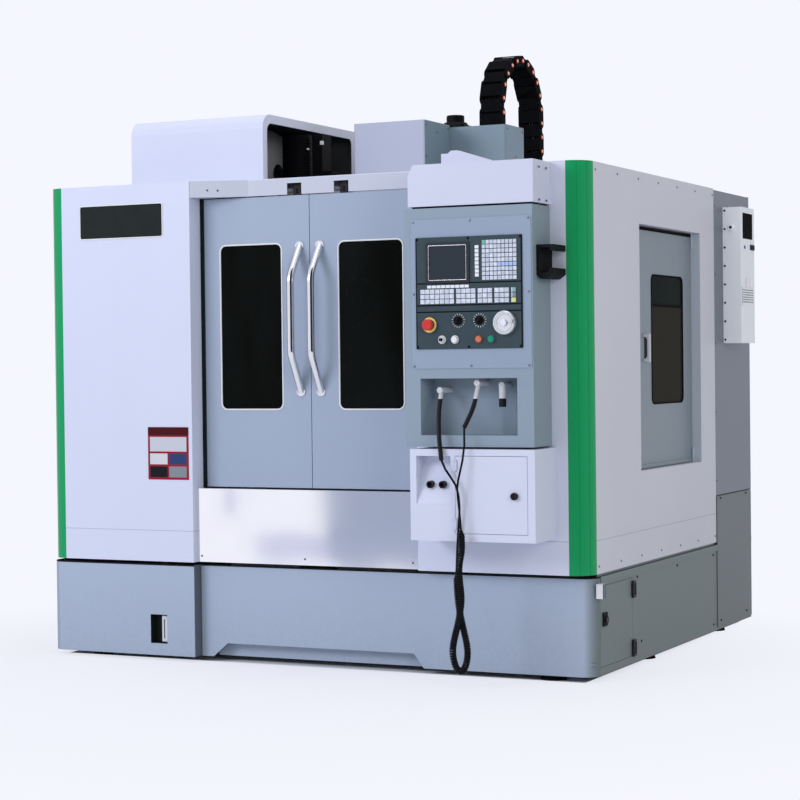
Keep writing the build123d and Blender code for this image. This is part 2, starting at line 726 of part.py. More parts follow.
# Saddle: slides on the bed's ways and carries the table; the first Y cover is screwed on it
with BuildPart() as saddle:
    block(
        -SADDLE_HALF_X, SADDLE_HALF_X, SPINDLE_Y - SADDLE_HALF_Y, SPINDLE_Y + SADDLE_HALF_Y,
        Y_WAY_TOP + SLIDE_GAP, SADDLE_TOP,
    )
    chamfer(saddle.edges().filter_by(Axis.Z), 20)
    # Side lips reach down past the ways
    for x in (-1, 1):
        lip = sorted([x * (WAY_X + WAY_WIDTH / 2 + SLIDE_GAP), x * (WAY_X + WAY_WIDTH / 2 + 45)])
        block(
            lip[0], lip[1], SPINDLE_Y - SADDLE_HALF_Y + 20, SPINDLE_Y + SADDLE_HALF_Y - 20,
            BED_TOP + 30, Y_WAY_TOP + SLIDE_GAP,
        )
    # Channel along X for the table's ball screw
    block(
        -SADDLE_HALF_X - 1, SADDLE_HALF_X + 1, SPINDLE_Y - 45, SPINDLE_Y + 45,
        SADDLE_TOP - 70, SADDLE_TOP + 1, Mode.SUBTRACT,
    )
    # Cover over the Y ways in front of it
    roof_cover(saddle_front - COVER_LENGTH, saddle_front, 0)
keep(saddle.part, "saddle")

# Table with three T-slots along X and a coolant gutter at each end
slots_y = [SPINDLE_Y + (i - (SLOT_COUNT - 1) / 2) * SLOT_PITCH for i in range(SLOT_COUNT)]
with BuildPart() as table:
    block(
        -TABLE_LENGTH / 2, TABLE_LENGTH / 2, SPINDLE_Y - TABLE_WIDTH / 2, SPINDLE_Y + TABLE_WIDTH / 2,
        SADDLE_TOP + SLIDE_GAP, TABLE_TOP,
    )
    for y in slots_y:
        neck = (y - SLOT_WIDTH / 2, y + SLOT_WIDTH / 2)
        foot = (y - SLOT_FOOT_WIDTH / 2, y + SLOT_FOOT_WIDTH / 2)
        end = TABLE_LENGTH / 2 + 1
        block(-end, end, neck[0], neck[1], TABLE_TOP - SLOT_DEPTH, TABLE_TOP + 1, Mode.SUBTRACT)
        block(
            -end, end, foot[0], foot[1],
            TABLE_TOP - SLOT_DEPTH, TABLE_TOP - SLOT_DEPTH + SLOT_FOOT_DEPTH, Mode.SUBTRACT,
        )
keep(table.part, "table")

# Folded covers at the table's ends, over the saddle's X ways
with BuildPart() as table_wings:
    for x in (-1, 1):
        ends = sorted([x * TABLE_LENGTH / 2, x * (TABLE_LENGTH / 2 + WING_LENGTH)])
        block(
            ends[0], ends[1], SPINDLE_Y - SADDLE_HALF_Y - WING_OUT, SPINDLE_Y + SADDLE_HALF_Y + WING_OUT,
            WING_FOOT, SADDLE_TOP + 40,
        )
    for x in (-1, 1):
        ends = sorted([x * TABLE_LENGTH / 2 - x, x * (TABLE_LENGTH / 2 + WING_LENGTH + 1)])
        block(
            ends[0], ends[1],
            SPINDLE_Y - SADDLE_HALF_Y - WING_OUT + SHEET, SPINDLE_Y + SADDLE_HALF_Y + WING_OUT - SHEET,
            WING_FOOT - 1, SADDLE_TOP + 40 - SHEET, Mode.SUBTRACT,
        )
keep(table_wings.part, "table_wings")


# Middle one of the telescopic covers in front of the saddle
cover_start = BED_FRONT + RUN_GAP
with BuildPart() as y_cover_middle:
    middle = (saddle_front + cover_start) / 2
    roof_cover(middle - COVER_LENGTH / 2, middle + COVER_LENGTH / 2, 1)
    # Tabs under its skirts slide on the bed
    for s in (-1, 1):
        tab = sorted([s * (BED_HALF - 60 + COVER_STEP), s * (BED_HALF - 60 + COVER_STEP - COVER_SHEET)])
        block(tab[0], tab[1], middle - 20, middle + 20, BED_TOP + FIT, COVER_FOOT + 1)
keep(y_cover_middle.part, "y_cover_middle")

# Front blocks left and right of the doors: folded sheet, open behind, where the doors slide in
with BuildPart() as front_panels:
    for s in (-1, 1):
        ends = sorted([s * BLOCK_INNER, s * (HALF_WIDTH - CORNER)])
        block(ends[0], ends[1], 0, BLOCK_DEPTH, GUARD_FOOT, HEIGHT)
        inner = sorted([s * (BLOCK_INNER + SHEET), s * (HALF_WIDTH - CORNER + 1)])
        block(
            inner[0], inner[1], SHEET, BLOCK_DEPTH + 1, GUARD_FOOT + SHEET, HEIGHT - SHEET,
            Mode.SUBTRACT,
        )
keep(front_panels.part, "front_panels")


def corner_line(s, inset):
    """The strip's plan: a quarter round between the front plane and the side, set in by inset."""
    x = s * (HALF_WIDTH - inset)
    mid = (CORNER - inset) * (1 - cos(pi / 4))
    return (
        (s * (HALF_WIDTH - CORNER), inset),
        (x - s * mid, inset + mid),
        (x, CORNER),
    )


# Corner strips: rolled sheet with two pressed grooves, from the base to the top
with BuildPart() as corner_strips:
    for s in (-1, 1):
        outer = corner_line(s, 0)
        inner = corner_line(s, SHEET)
        with BuildSketch(level(GUARD_FOOT)):
            with BuildLine():
                ThreePointArc(*outer)
                Line(outer[2], inner[2])
                ThreePointArc(*inner)
                Line(inner[0], outer[0])
            make_face()
        extrude(amount=HEIGHT - GUARD_FOOT)
        for turn in (30, 60):
            groove_x = s * (HALF_WIDTH - CORNER + CORNER * sin(radians(turn)))
            groove_y = CORNER * (1 - cos(radians(turn)))
            disc(
                level(GUARD_FOOT - 1), groove_x, groove_y, CORNER_GROOVE / 2,
                HEIGHT - GUARD_FOOT + 2, Mode.SUBTRACT,
            )
        # A lid closes the corner of the roof
        with BuildSketch(level(HEIGHT - SHEET)):
            with BuildLine():
                ThreePointArc(*inner)
                Polyline(
                    inner[2],
                    (s * (HALF_WIDTH - SHEET), BLOCK_DEPTH),
                    (s * (HALF_WIDTH - CORNER), BLOCK_DEPTH),
                    inner[0],
                )
            make_face()
        extrude(amount=SHEET)
keep(corner_strips.part, "corner_strips")

# Side panels: flat sheets with a folded seam, the right one with the side door's opening,
# its deep folded frame and the barrels that the side door hangs on
leaf_x = HALF_WIDTH - SIDE_RECESS
with BuildPart() as side_panels:
    for s in (-1, 1):
        ends = sorted([s * HALF_WIDTH, s * (HALF_WIDTH - SHEET)])
        block(ends[0], ends[1], CORNER, GUARD_DEPTH, GUARD_FOOT, HEIGHT)
        lip = sorted([s * (HALF_WIDTH - SHEET), s * (HALF_WIDTH - SHEET - RETURN_LIP)])
        block(lip[0], lip[1], GUARD_DEPTH - SHEET, GUARD_DEPTH, GUARD_FOOT, HEIGHT - SHEET)
        block(lip[0], lip[1], CORNER, GUARD_DEPTH, GUARD_FOOT, GUARD_FOOT + SHEET)
    frame_depth = SIDE_RECESS + SIDE_LEAF
    side_pad(
        SIDE_Y0 - SHEET, SIDE_Y1 + SHEET, SIDE_Z0 - SHEET, SIDE_Z1 + SHEET, HALF_WIDTH, frame_depth,
    )
    side_pad(SIDE_Y0, SIDE_Y1, SIDE_Z0, SIDE_Z1, HALF_WIDTH + 1, frame_depth + 2, mode=Mode.SUBTRACT)
    for z in (SIDE_Z0, SIDE_Z1 - 60):
        disc(
            level(z), leaf_x + SIDE_HINGE_OUT, SIDE_Y1 - SIDE_GAP - 4, SIDE_HINGE_R, 60,
        )
        block(
            leaf_x + SIDE_HINGE_OUT - 2, leaf_x + SIDE_HINGE_OUT + 2, SIDE_Y1 - SIDE_GAP - 4, SIDE_Y1,
            z, z + 60,
        )
keep(side_panels.part, "side_panels")

# Side door: a folded leaf in the frame, with a window cut-out and a bow handle
with BuildPart() as side_door:
    side_pad(
        SIDE_Y0 + SIDE_GAP, SIDE_Y1 - SIDE_GAP, SIDE_Z0 + SIDE_GAP, SIDE_Z1 - SIDE_GAP,
        leaf_x, SIDE_LEAF,
    )
    side_pad(
        SIDE_Y0 + SIDE_GAP + SHEET, SIDE_Y1 - SIDE_GAP - SHEET,
        SIDE_Z0 + SIDE_GAP + SHEET, SIDE_Z1 - SIDE_GAP - SHEET,
        leaf_x - SHEET, SIDE_LEAF, mode=Mode.SUBTRACT,
    )
    side_pad(
        SIDE_WIN_Y0, SIDE_WIN_Y1, SIDE_WIN_Z0, SIDE_WIN_Z1, leaf_x + 1, SHEET + 2,
        radius=WINDOW_R, mode=Mode.SUBTRACT,
    )
    # Drip lip along the foot
    side_pad(
        SIDE_Y0 + SIDE_GAP, SIDE_Y1 - RETURN_LIP, SIDE_Z0 + SIDE_GAP, SIDE_Z0 + SIDE_GAP + 14,
        leaf_x + 6, 6,
    )
    # Bow handle on the free edge
    with BuildSketch(front(SIDE_HANDLE_Y - 7)):
        with Locations((leaf_x + SIDE_HANDLE_OUT / 2, (SIDE_HANDLE_Z0 + SIDE_HANDLE_Z1) / 2)):
            Rectangle(SIDE_HANDLE_OUT, SIDE_HANDLE_Z1 - SIDE_HANDLE_Z0)
        with Locations((leaf_x + SIDE_HANDLE_OUT / 2 - 8, (SIDE_HANDLE_Z0 + SIDE_HANDLE_Z1) / 2)):
            Rectangle(SIDE_HANDLE_OUT, SIDE_HANDLE_Z1 - SIDE_HANDLE_Z0 - 24, mode=Mode.SUBTRACT)
    extrude(amount=-14)
keep(side_door.part, "side_door")

# Side door's window: a pane clamped behind the cut-out
with BuildPart() as side_door_window:
    side_pad(
        SIDE_WIN_Y0 - WINDOW_LAP, SIDE_WIN_Y1 + WINDOW_LAP,
        SIDE_WIN_Z0 - WINDOW_LAP, SIDE_WIN_Z1 + WINDOW_LAP,
        leaf_x - SHEET, GLASS, radius=WINDOW_R + WINDOW_LAP,
    )
keep(side_door_window.part, "side_door_window")

# Roof: a flat sheet cut away for the head, the column and the tool magazine
with BuildPart() as roof_panel:
    block(
        -HALF_WIDTH + SHEET, HALF_WIDTH - SHEET, BLOCK_DEPTH, GUARD_DEPTH, HEIGHT - SHEET, HEIGHT,
    )
    block(
        -HOOD_HALF - 25, JUNCTION_X1 + 25, HOOD_Y0 - 25, COLUMN_FRONT - 15,
        HEIGHT - SHEET - 1, HEIGHT + 1, Mode.SUBTRACT,
    )
    block(
        -COLUMN_HALF - 8, COLUMN_HALF + 8, plate_back - HEAD_PLATE - 12, GUARD_DEPTH + 1,
        HEIGHT - SHEET - 1, HEIGHT + 1, Mode.SUBTRACT,
    )
    block(
        MAG_X0 + 25, -HOOD_HALF - 24, MAG_Y0 + 25, MAG_Y1 - 20,
        HEIGHT - SHEET - 1, HEIGHT + 1, Mode.SUBTRACT,
    )
    # Folded lip behind the header
    block(
        -HALF_WIDTH + SHEET, HALF_WIDTH - SHEET, BLOCK_DEPTH + SHEET, BLOCK_DEPTH + 2 * SHEET,
        NOTCH_TOP + 3, HEIGHT,
    )
keep(roof_panel.part, "roof_panel")

# Inner guard: rear splash wall with the column's opening, chip tray with the bed's opening
tray_z = BED_TOP - 60
wall_y = COLUMN_FRONT - 45
with BuildPart() as inner_guard:
    half = HALF_WIDTH - 63
    block(-half, half, BLOCK_DEPTH + 60, wall_y, tray_z, tray_z + SHEET)
    block(
        -BED_HALF - 6, BED_HALF + 6, BED_FRONT - 8, wall_y + 1, tray_z - 1, tray_z + SHEET + 1,
        Mode.SUBTRACT,
    )
    block(-half, half, wall_y, wall_y + SHEET, tray_z, HEIGHT - SHEET)
    block(
        -HEAD_PLATE_HALF - 12, HEAD_PLATE_HALF + 12, wall_y - 1, wall_y + SHEET + 1,
        tray_z - 1, HEIGHT, Mode.SUBTRACT,
    )
    block(
        -BED_HALF - 6, BED_HALF + 6, wall_y - 1, wall_y + SHEET + 1, tray_z - 1, BED_TOP + 4,
        Mode.SUBTRACT,
    )
    block(
        DISC_X - 40, -HEAD_PLATE_HALF, wall_y - 1, wall_y + SHEET + 1, CAM_FOOT - 40, HEIGHT,
        Mode.SUBTRACT,
    )
    # Upturned front and side edges of the tray
    block(-half, half, BLOCK_DEPTH + 60, BLOCK_DEPTH + 60 + SHEET, tray_z, APRON_TOP - 5)
    for s in (-1, 1):
        ends = sorted([s * half, s * (half - SHEET)])
        block(ends[0], ends[1], BLOCK_DEPTH + 60, wall_y, tray_z, SIDE_Z0 - 20)
    # Ledges that rest on the bed's flanks
    for s in (-1, 1):
        ends = sorted([s * (BED_HALF + 20), s * BED_HALF])
        for y in (400, 1000):
            block(ends[0], ends[1], y, y + 60, tray_z, tray_z + SHEET)
    # Outermost Y cover, fixed to the tray's front edge
    roof_cover(BED_FRONT - 8, BED_FRONT - 8 + COVER_LENGTH, 2)
keep(inner_guard.part, "inner_guard")

# Stainless apron under the doors: one sheet folded round the sill
with BuildPart() as front_apron:
    sill_back = DOOR_Y - 3
    block(-BLOCK_INNER + RUN_GAP, BLOCK_INNER - RUN_GAP, APRON_Y, sill_back, APRON_FOOT, APRON_TOP)
    block(
        -BLOCK_INNER, BLOCK_INNER, APRON_Y + SHEET, sill_back + 1, APRON_FOOT - 1, APRON_TOP - SHEET,
        Mode.SUBTRACT,
    )
keep(front_apron.part, "front_apron")

# Header: lintel sheet with two notches for the hangers, its gusset, and the doors' roller rail
with BuildPart() as door_lintel:
    block(
        LINTEL_LEFT, LINTEL_RIGHT, BLOCK_DEPTH, BLOCK_DEPTH + SHEET, LINTEL_FOOT, HEIGHT - SHEET,
    )
    for x in (HANGERS_LEFT[-1], HANGERS_RIGHT[0]):
        block(
            x - NOTCH_WIDTH / 2, x + NOTCH_WIDTH / 2, BLOCK_DEPTH - 1, BLOCK_DEPTH + SHEET + 1,
            LINTEL_FOOT - 1, NOTCH_TOP, Mode.SUBTRACT,
        )
    # Gusset across the step between the left block and the lintel
    prism(
        level(LINTEL_FOOT),
        [
            (-BLOCK_INNER + RUN_GAP, 2),
            (LINTEL_LEFT, BLOCK_DEPTH),
            (LINTEL_LEFT, BLOCK_DEPTH + SHEET),
            (-BLOCK_INNER + RUN_GAP, BLOCK_DEPTH + SHEET),
        ],
        HEIGHT - SHEET - LINTEL_FOOT,
    )
    # Its top closes the step up to the roof's front edge
    prism(
        level(HEIGHT - SHEET),
        [
            (-BLOCK_INNER + RUN_GAP, 2),
            (LINTEL_LEFT, BLOCK_DEPTH),
            (-BLOCK_INNER + RUN_GAP, BLOCK_DEPTH),
        ],
        SHEET,
    )
    # Rail and its posts
    with BuildSketch(side(-RAIL_HALF)):
        with Locations((RAIL_Y, RAIL_Z)):
            Circle(RAIL_R)
    extrude(amount=2 * RAIL_HALF)
    for x in RAIL_POSTS_X:
        block(x - 12, x + 12, RAIL_Y, RAIL_Y + 24, RAIL_Z - 6, RAIL_Z + 6)
        block(x - 12, x + 12, RAIL_Y + 18, RAIL_Y + 24, RAIL_Z - 6, HEIGHT - SHEET)
keep(door_lintel.part, "door_lintel")


def front_door(s, hangers):
    """A folded door leaf on side s of the middle, with its window cut-out and roller hangers."""
    ends = sorted([s * DOOR_MEET_GAP / 2, s * (BLOCK_INNER + DOOR_OVERLAP)])
    block(ends[0], ends[1], DOOR_Y, DOOR_Y + DOOR_THICK, DOOR_FOOT, DOOR_TOP)
    block(
        ends[0] + DOOR_SHEET, ends[1] - DOOR_SHEET, DOOR_Y + DOOR_SHEET, DOOR_Y + DOOR_THICK + 1,
        DOOR_FOOT + DOOR_SHEET, DOOR_TOP - DOOR_SHEET, Mode.SUBTRACT,
    )
    front_pad(
        s * WINDOW_X - WINDOW_WIDTH / 2, s * WINDOW_X + WINDOW_WIDTH / 2, WINDOW_FOOT, WINDOW_TOP,
        DOOR_Y - 1, DOOR_SHEET + 2, WINDOW_R, Mode.SUBTRACT,
    )
    roller_z = RAIL_Z + RAIL_R + SLIDE_GAP + HANGER_ROLLER_R
    for x in hangers:
        plate_y = DOOR_Y + DOOR_THICK - 5
        block(x - 16, x + 16, plate_y, plate_y + 5, DOOR_TOP - 60, roller_z + HANGER_ROLLER_R)
        disc(front(RAIL_Y - 6), x, roller_z, 5, RAIL_Y - 6 - plate_y)
        disc(front(RAIL_Y + 6), x, roller_z, HANGER_ROLLER_R, 12)


with BuildPart() as left_door:
    front_door(-1, HANGERS_LEFT)
keep(left_door.part, "left_door")
with BuildPart() as right_door:
    front_door(1, HANGERS_RIGHT)
keep(right_door.part, "right_door")


def door_glass(s):
    """The pane behind a front door's window cut-out."""
    front_pad(
        s * WINDOW_X - WINDOW_WIDTH / 2 - WINDOW_LAP, s * WINDOW_X + WINDOW_WIDTH / 2 + WINDOW_LAP,
        WINDOW_FOOT - WINDOW_LAP, WINDOW_TOP + WINDOW_LAP,
        DOOR_Y + DOOR_SHEET, GLASS, WINDOW_R + WINDOW_LAP,
    )


with BuildPart() as left_door_window:
    door_glass(-1)
keep(left_door_window.part, "left_door_window")
with BuildPart() as right_door_window:
    door_glass(1)
keep(right_door_window.part, "right_door_window")


def door_handle(s):
    """A bent tube handle: a straight grip whose two ends slope back to the door."""
    x = MID_X + s * HANDLE_X
    door_y = FRONT_Y + DOOR_Y
    grip_y = door_y - HANDLE_OUT
    with BuildLine() as path:
        FilletPolyline(
            (x, door_y, HANDLE_FOOT),
            (x, grip_y, HANDLE_BEND_FOOT),
            (x, grip_y, HANDLE_BEND_TOP),
            (x, door_y, HANDLE_TOP),
            radius=HANDLE_BEND_R,
        )
    with BuildSketch(Plane(origin=path.line @ 0, z_dir=path.line % 0)) as section:
        Circle(HANDLE_R)
    sweep(section.sketch, path=path.line)
    for z in (HANDLE_FOOT, HANDLE_TOP):
        disc(front(DOOR_Y), s * HANDLE_X, z, HANDLE_FLANGE_R, 4)
    block(
        s * HANDLE_X - 40, s * HANDLE_X + 40, DOOR_Y, DOOR_Y + 40, HANDLE_FOOT - 60, HANDLE_TOP + 60,
        Mode.SUBTRACT,
    )


with BuildPart() as left_door_handle:
    door_handle(-1)
keep(left_door_handle.part, "left_door_handle")
with BuildPart() as right_door_handle:
    door_handle(1)
keep(right_door_handle.part, "right_door_handle")

# Operator console: a folded housing, open behind, with the faceplate's opening and the niche
with BuildPart() as console_housing:
    block(CON_X0, CON_X1, -CON_OUT, 0, CON_Z0, CON_Z1)
    block(
        CON_X0 + SHEET, CON_X1 - SHEET, -CON_OUT + SHEET, 1, CON_Z0 + SHEET, CON_Z1 - SHEET,
        Mode.SUBTRACT,
    )
    front_pad(
        FASCIA_X0 - 8, FASCIA_X1 + 8, FASCIA_Z0 - 8, FASCIA_Z1 + 8, -CON_OUT - 1, SHEET + 2,
        mode=Mode.SUBTRACT,
    )
    # The niche is a tray folded back from its window
    block(
        NICHE_X0 - SHEET, NICHE_X1 + SHEET, -CON_OUT, NICHE_DEPTH - CON_OUT + SHEET,
        NICHE_Z0 - SHEET, NICHE_Z1 + SHEET,
    )
    block(
        NICHE_X0, NICHE_X1, -CON_OUT - 1, NICHE_DEPTH - CON_OUT, NICHE_Z0, NICHE_Z1, Mode.SUBTRACT,
    )
keep(console_housing.part, "console_housing")

# White cap over the console, with its top left corner cut and a sloping bracket on its roof
with BuildPart() as console_cap:
    prism(
        front(-CON_OUT),
        [
            (CAP_X0, CON_Z1 + CAP_GAP),
            (CAP_X1, CON_Z1 + CAP_GAP),
            (CAP_X1, CAP_Z1),
            (CAP_X0 + CAP_CUT / 2, CAP_Z1),
            (CAP_X0, CAP_Z1 - CAP_CUT),
        ],
        -CON_OUT,
    )
    block(
        CAP_X0 + SHEET, CAP_X1 - SHEET, -CON_OUT + SHEET, 1,
        CON_Z1 + CAP_GAP + SHEET, CAP_Z1 - CAP_CUT - SHEET, Mode.SUBTRACT,
    )
    # It stands on a spacer that is set back, so that a dark gap shows under it
    block(
        CAP_X0 + CAP_SETBACK, CON_X1 - CAP_SETBACK, -CON_OUT + CAP_SETBACK, 0,
        CON_Z1, CON_Z1 + CAP_GAP,
    )
    prism(
        front(-CON_OUT + CAP_BACK),
        [
            (BRACKET_X0, CAP_Z1),
            (BRACKET_X1, CAP_Z1),
            (BRACKET_X1, BRACKET_LOW - 8),
            (BRACKET_X1 - 24, BRACKET_LOW),
            (BRACKET_X0 + 62, BRACKET_TOP),
            (BRACKET_X0 + 38, BRACKET_TOP),
            (BRACKET_X0 + 26, BRACKET_TOP - 10),
            (BRACKET_X0, BRACKET_TOP - 10),
        ],
        -40,
    )
keep(console_cap.part, "console_cap")


def bored(y, mode=Mode.SUBTRACT):
    """Holes for the stems of the switches, through a plate of the console that ends at y."""
    stems = [(ESTOP_X, ESTOP_Z), (WHEEL_X, WHEEL_Z), (KEY_SWITCH_X, BUTTON_Z)]
    stems += [(x, KNOBS_Z) for x in KNOBS_X]
    stems += [(x, BUTTON_Z) for x in BUTTONS_X]
    with BuildSketch(front(y + 1)) as outline:
        with Locations(*stems):
            Circle(STEM_R + STEM_GAP)
    extrude(outline.sketch, amount=FASCIA_THICK + COLLAR_OUT + 4, mode=mode)


face_y = -CON_OUT - FACE_THICK
fascia_y = face_y - FASCIA_THICK

# Faceplate: a screwed sheet over the housing's opening
with BuildPart() as console_faceplate:
    front_pad(FACE_X0, FACE_X1, FACE_Z0, FACE_Z1, face_y, FACE_THICK)
    bored(-CON_OUT)
keep(console_faceplate.part, "console_faceplate")

# Control fascia: the black panel, with a raised collar round each button and switch
with BuildPart() as control_fascia:
    front_pad(
        FASCIA_X0, FASCIA_X1, FASCIA_Z0, FASCIA_Z1, fascia_y, FASCIA_THICK, radius=4,
    )
    with BuildSketch(front(fascia_y)):
        with Locations((ESTOP_X, ESTOP_Z)):
            Circle(ESTOP_RING_R)
        with Locations(*[(x, BUTTON_Z) for x in BUTTONS_X + [KEY_SWITCH_X]]):
            Circle(COLLAR_R)
    extrude(amount=COLLAR_OUT)
    bored(face_y)
keep(control_fascia.part, "control_fascia")

# Screen: a bezel with the glass set back in it
with BuildPart() as screen:
    front_pad(
        SCREEN_X0, SCREEN_X1, SCREEN_Z0, SCREEN_Z1, fascia_y - SCREEN_THICK, SCREEN_THICK, radius=4,
    )
    front_pad(
        SCREEN_X0 + SCREEN_BEZEL, SCREEN_X1 - SCREEN_BEZEL,
        SCREEN_Z0 + SCREEN_BEZEL, SCREEN_Z1 - SCREEN_BEZEL,
        fascia_y - SCREEN_THICK, 2, mode=Mode.SUBTRACT,
    )
keep(screen.part, "screen")


def key_block(x0, x1, z0, z1, columns, rows):
    """A field of square keys between two corners."""
    pitch_x = (x1 - x0 + KEY_GAP) / columns
    pitch_z = (z1 - z0 + KEY_GAP) / rows
    with BuildSketch(front(fascia_y)) as outline:
        with Locations(((x0 + x1) / 2, (z0 + z1) / 2)):
            with GridLocations(pitch_x, pitch_z, columns, rows):
                Rectangle(pitch_x - KEY_GAP, pitch_z - KEY_GAP)
    extrude(outline.sketch, amount=KEY_OUT)


# Keys: the data keypad beside the screen and the blocks of machine keys under it
with BuildPart() as panel_keys:
    key_block(PAD_SIDE_X0, PAD_SIDE_X1, PAD_SIDE_Z0, PAD_SIDE_Z1, 1, PAD_SIDE_ROWS)
    key_block(PAD_X0, PAD_X1, PAD_Z0, PAD_Z1, PAD_COLUMNS, PAD_ROWS)
    # Soft keys over the left end of the strip
    key_block(SOFT_X0, SOFT_X1, SOFT_Z0, SOFT_Z1, SOFT_KEYS, 1)
    all_columns = sum(STRIP_BLOCKS)
    column = (STRIP_X1 - STRIP_X0 - STRIP_BLOCK_GAP * (len(STRIP_BLOCKS) - 1)) / all_columns
    block_x = STRIP_X0
    for count in STRIP_BLOCKS:
        key_block(block_x, block_x + count * column - KEY_GAP, STRIP_Z0, STRIP_Z1, count, STRIP_ROWS)
        block_x += count * column + STRIP_BLOCK_GAP
keep(panel_keys.part, "panel_keys")


# Emergency stop: a mushroom head on a stem, which stands its travel proud of the collar
with BuildPart() as emergency_stop:
    with BuildSketch(front(fascia_y - COLLAR_OUT - RUN_GAP - ESTOP_TRAVEL)):
        with Locations((ESTOP_X, ESTOP_Z)):
            Circle(ESTOP_R - 6)
    extrude(amount=7)
    head_y = fascia_y - COLLAR_OUT - RUN_GAP - ESTOP_TRAVEL - 7
    disc(front(head_y), ESTOP_X, ESTOP_Z, ESTOP_R, 12)
    chamfer(emergency_stop.faces().sort_by(Axis.Y)[0].edges(), 3)
    disc(front(head_y), ESTOP_X, ESTOP_Z, STEM_R, -ESTOP_TRAVEL - COLLAR_OUT - FASCIA_THICK - 18)
keep(emergency_stop.part, "emergency_stop")


def rotary_knob(x, z):
    """A round switch knob with a raised grip bar across it."""
    base_y = fascia_y - RUN_GAP
    disc(front(base_y), x, z, KNOB_R, 8)
    with BuildSketch(front(base_y - 8)) as outline:
        with Locations((x, z)):
            SlotOverall(2 * KNOB_R - 4, 9, rotation=60)
    extrude(outline.sketch, amount=KNOB_OUT - 8)
    disc(front(base_y), x, z, STEM_R, -FASCIA_THICK - 14)


with BuildPart() as feed_knob:
    rotary_knob(KNOBS_X[0], KNOBS_Z)
keep(feed_knob.part, "feed_knob")
with BuildPart() as spindle_knob:
    rotary_knob(KNOBS_X[1], KNOBS_Z)
keep(spindle_knob.part, "spindle_knob")

# Handwheel: a dished dial with an off-centre finger knob
with BuildPart() as handwheel:
    wheel_y = fascia_y - RUN_GAP
    disc(front(wheel_y), WHEEL_X, WHEEL_Z, WHEEL_R, WHEEL_OUT)
    chamfer(handwheel.faces().sort_by(Axis.Y)[0].edges(), 3)
    disc(front(wheel_y - WHEEL_OUT), WHEEL_X, WHEEL_Z, WHEEL_R - 14, -4, Mode.SUBTRACT)
    disc(front(wheel_y - WHEEL_OUT + 4), WHEEL_X, WHEEL_Z, 11, 8)
    disc(front(wheel_y - WHEEL_OUT), WHEEL_X + WHEEL_R - 10, WHEEL_Z + 5, 6, 12)
    disc(front(wheel_y), WHEEL_X, WHEEL_Z, STEM_R, -FASCIA_THICK - 14)
keep(handwheel.part, "handwheel")

# Key switch: a barrel with a key standing in it
with BuildPart() as key_switch:
    switch_y = fascia_y - COLLAR_OUT - RUN_GAP
    disc(front(switch_y), KEY_SWITCH_X, BUTTON_Z, BUTTON_R, 6)
    block(
        KEY_SWITCH_X - 1.5, KEY_SWITCH_X + 1.5, switch_y - 24, switch_y - 5, BUTTON_Z - 8, BUTTON_Z + 8,
    )
    disc(front(switch_y), KEY_SWITCH_X, BUTTON_Z, STEM_R, -COLLAR_OUT - FASCIA_THICK - 14)
keep(key_switch.part, "key_switch")


def push_button(x, z):
    """A lit push button, which stands its travel proud of its collar."""
    cap_y = fascia_y - COLLAR_OUT - RUN_GAP - BUTTON_TRAVEL
    disc(front(cap_y), x, z, BUTTON_R, BUTTON_OUT - BUTTON_TRAVEL)
    disc(front(cap_y), x, z, STEM_R, -BUTTON_TRAVEL - COLLAR_OUT - FASCIA_THICK - 14)


with BuildPart() as white_button:
    push_button(BUTTONS_X[0], BUTTON_Z)
keep(white_button.part, "white_button")
with BuildPart() as orange_button:
    push_button(BUTTONS_X[1], BUTTON_Z)
keep(orange_button.part, "orange_button")
with BuildPart() as green_button:
    push_button(BUTTONS_X[2], BUTTON_Z)
keep(green_button.part, "green_button")

# Pendant holder: a bent black strip with an upper hook and a lower hook
with BuildPart() as pendant_holder:
    prism(
        front(HOLDER_Y0),
        [
            (CON_X1, HOLDER_Z0 + 16),
            (CON_X1 + 14, HOLDER_Z0),
            (CON_X1 + HOLDER_OUT - 22, HOLDER_Z0),
            (CON_X1 + HOLDER_OUT, HOLDER_Z0 + 16),
            (CON_X1 + HOLDER_OUT, HOLDER_Z0 + 37),
            (CON_X1 + HOLDER_OUT - HOLDER_THICK, HOLDER_Z0 + 37),
            (CON_X1 + HOLDER_OUT - HOLDER_THICK - 8, HOLDER_Z0 + 22),
            (CON_X1 + HOLDER_THICK, HOLDER_Z0 + 22),
            (CON_X1 + HOLDER_THICK, HOLDER_Z1 - HOLDER_THICK),
            (CON_X1 + HOLDER_OUT - HOLDER_THICK, HOLDER_Z1 - HOLDER_THICK),
            (CON_X1 + HOLDER_OUT - HOLDER_THICK, HOLDER_Z1 - 22),
            (CON_X1 + HOLDER_OUT, HOLDER_Z1 - 22),
            (CON_X1 + HOLDER_OUT, HOLDER_Z1),
            (CON_X1, HOLDER_Z1),
        ],
        HOLDER_Y0 - HOLDER_Y1,
    )
keep(pendant_holder.part, "pendant_holder")

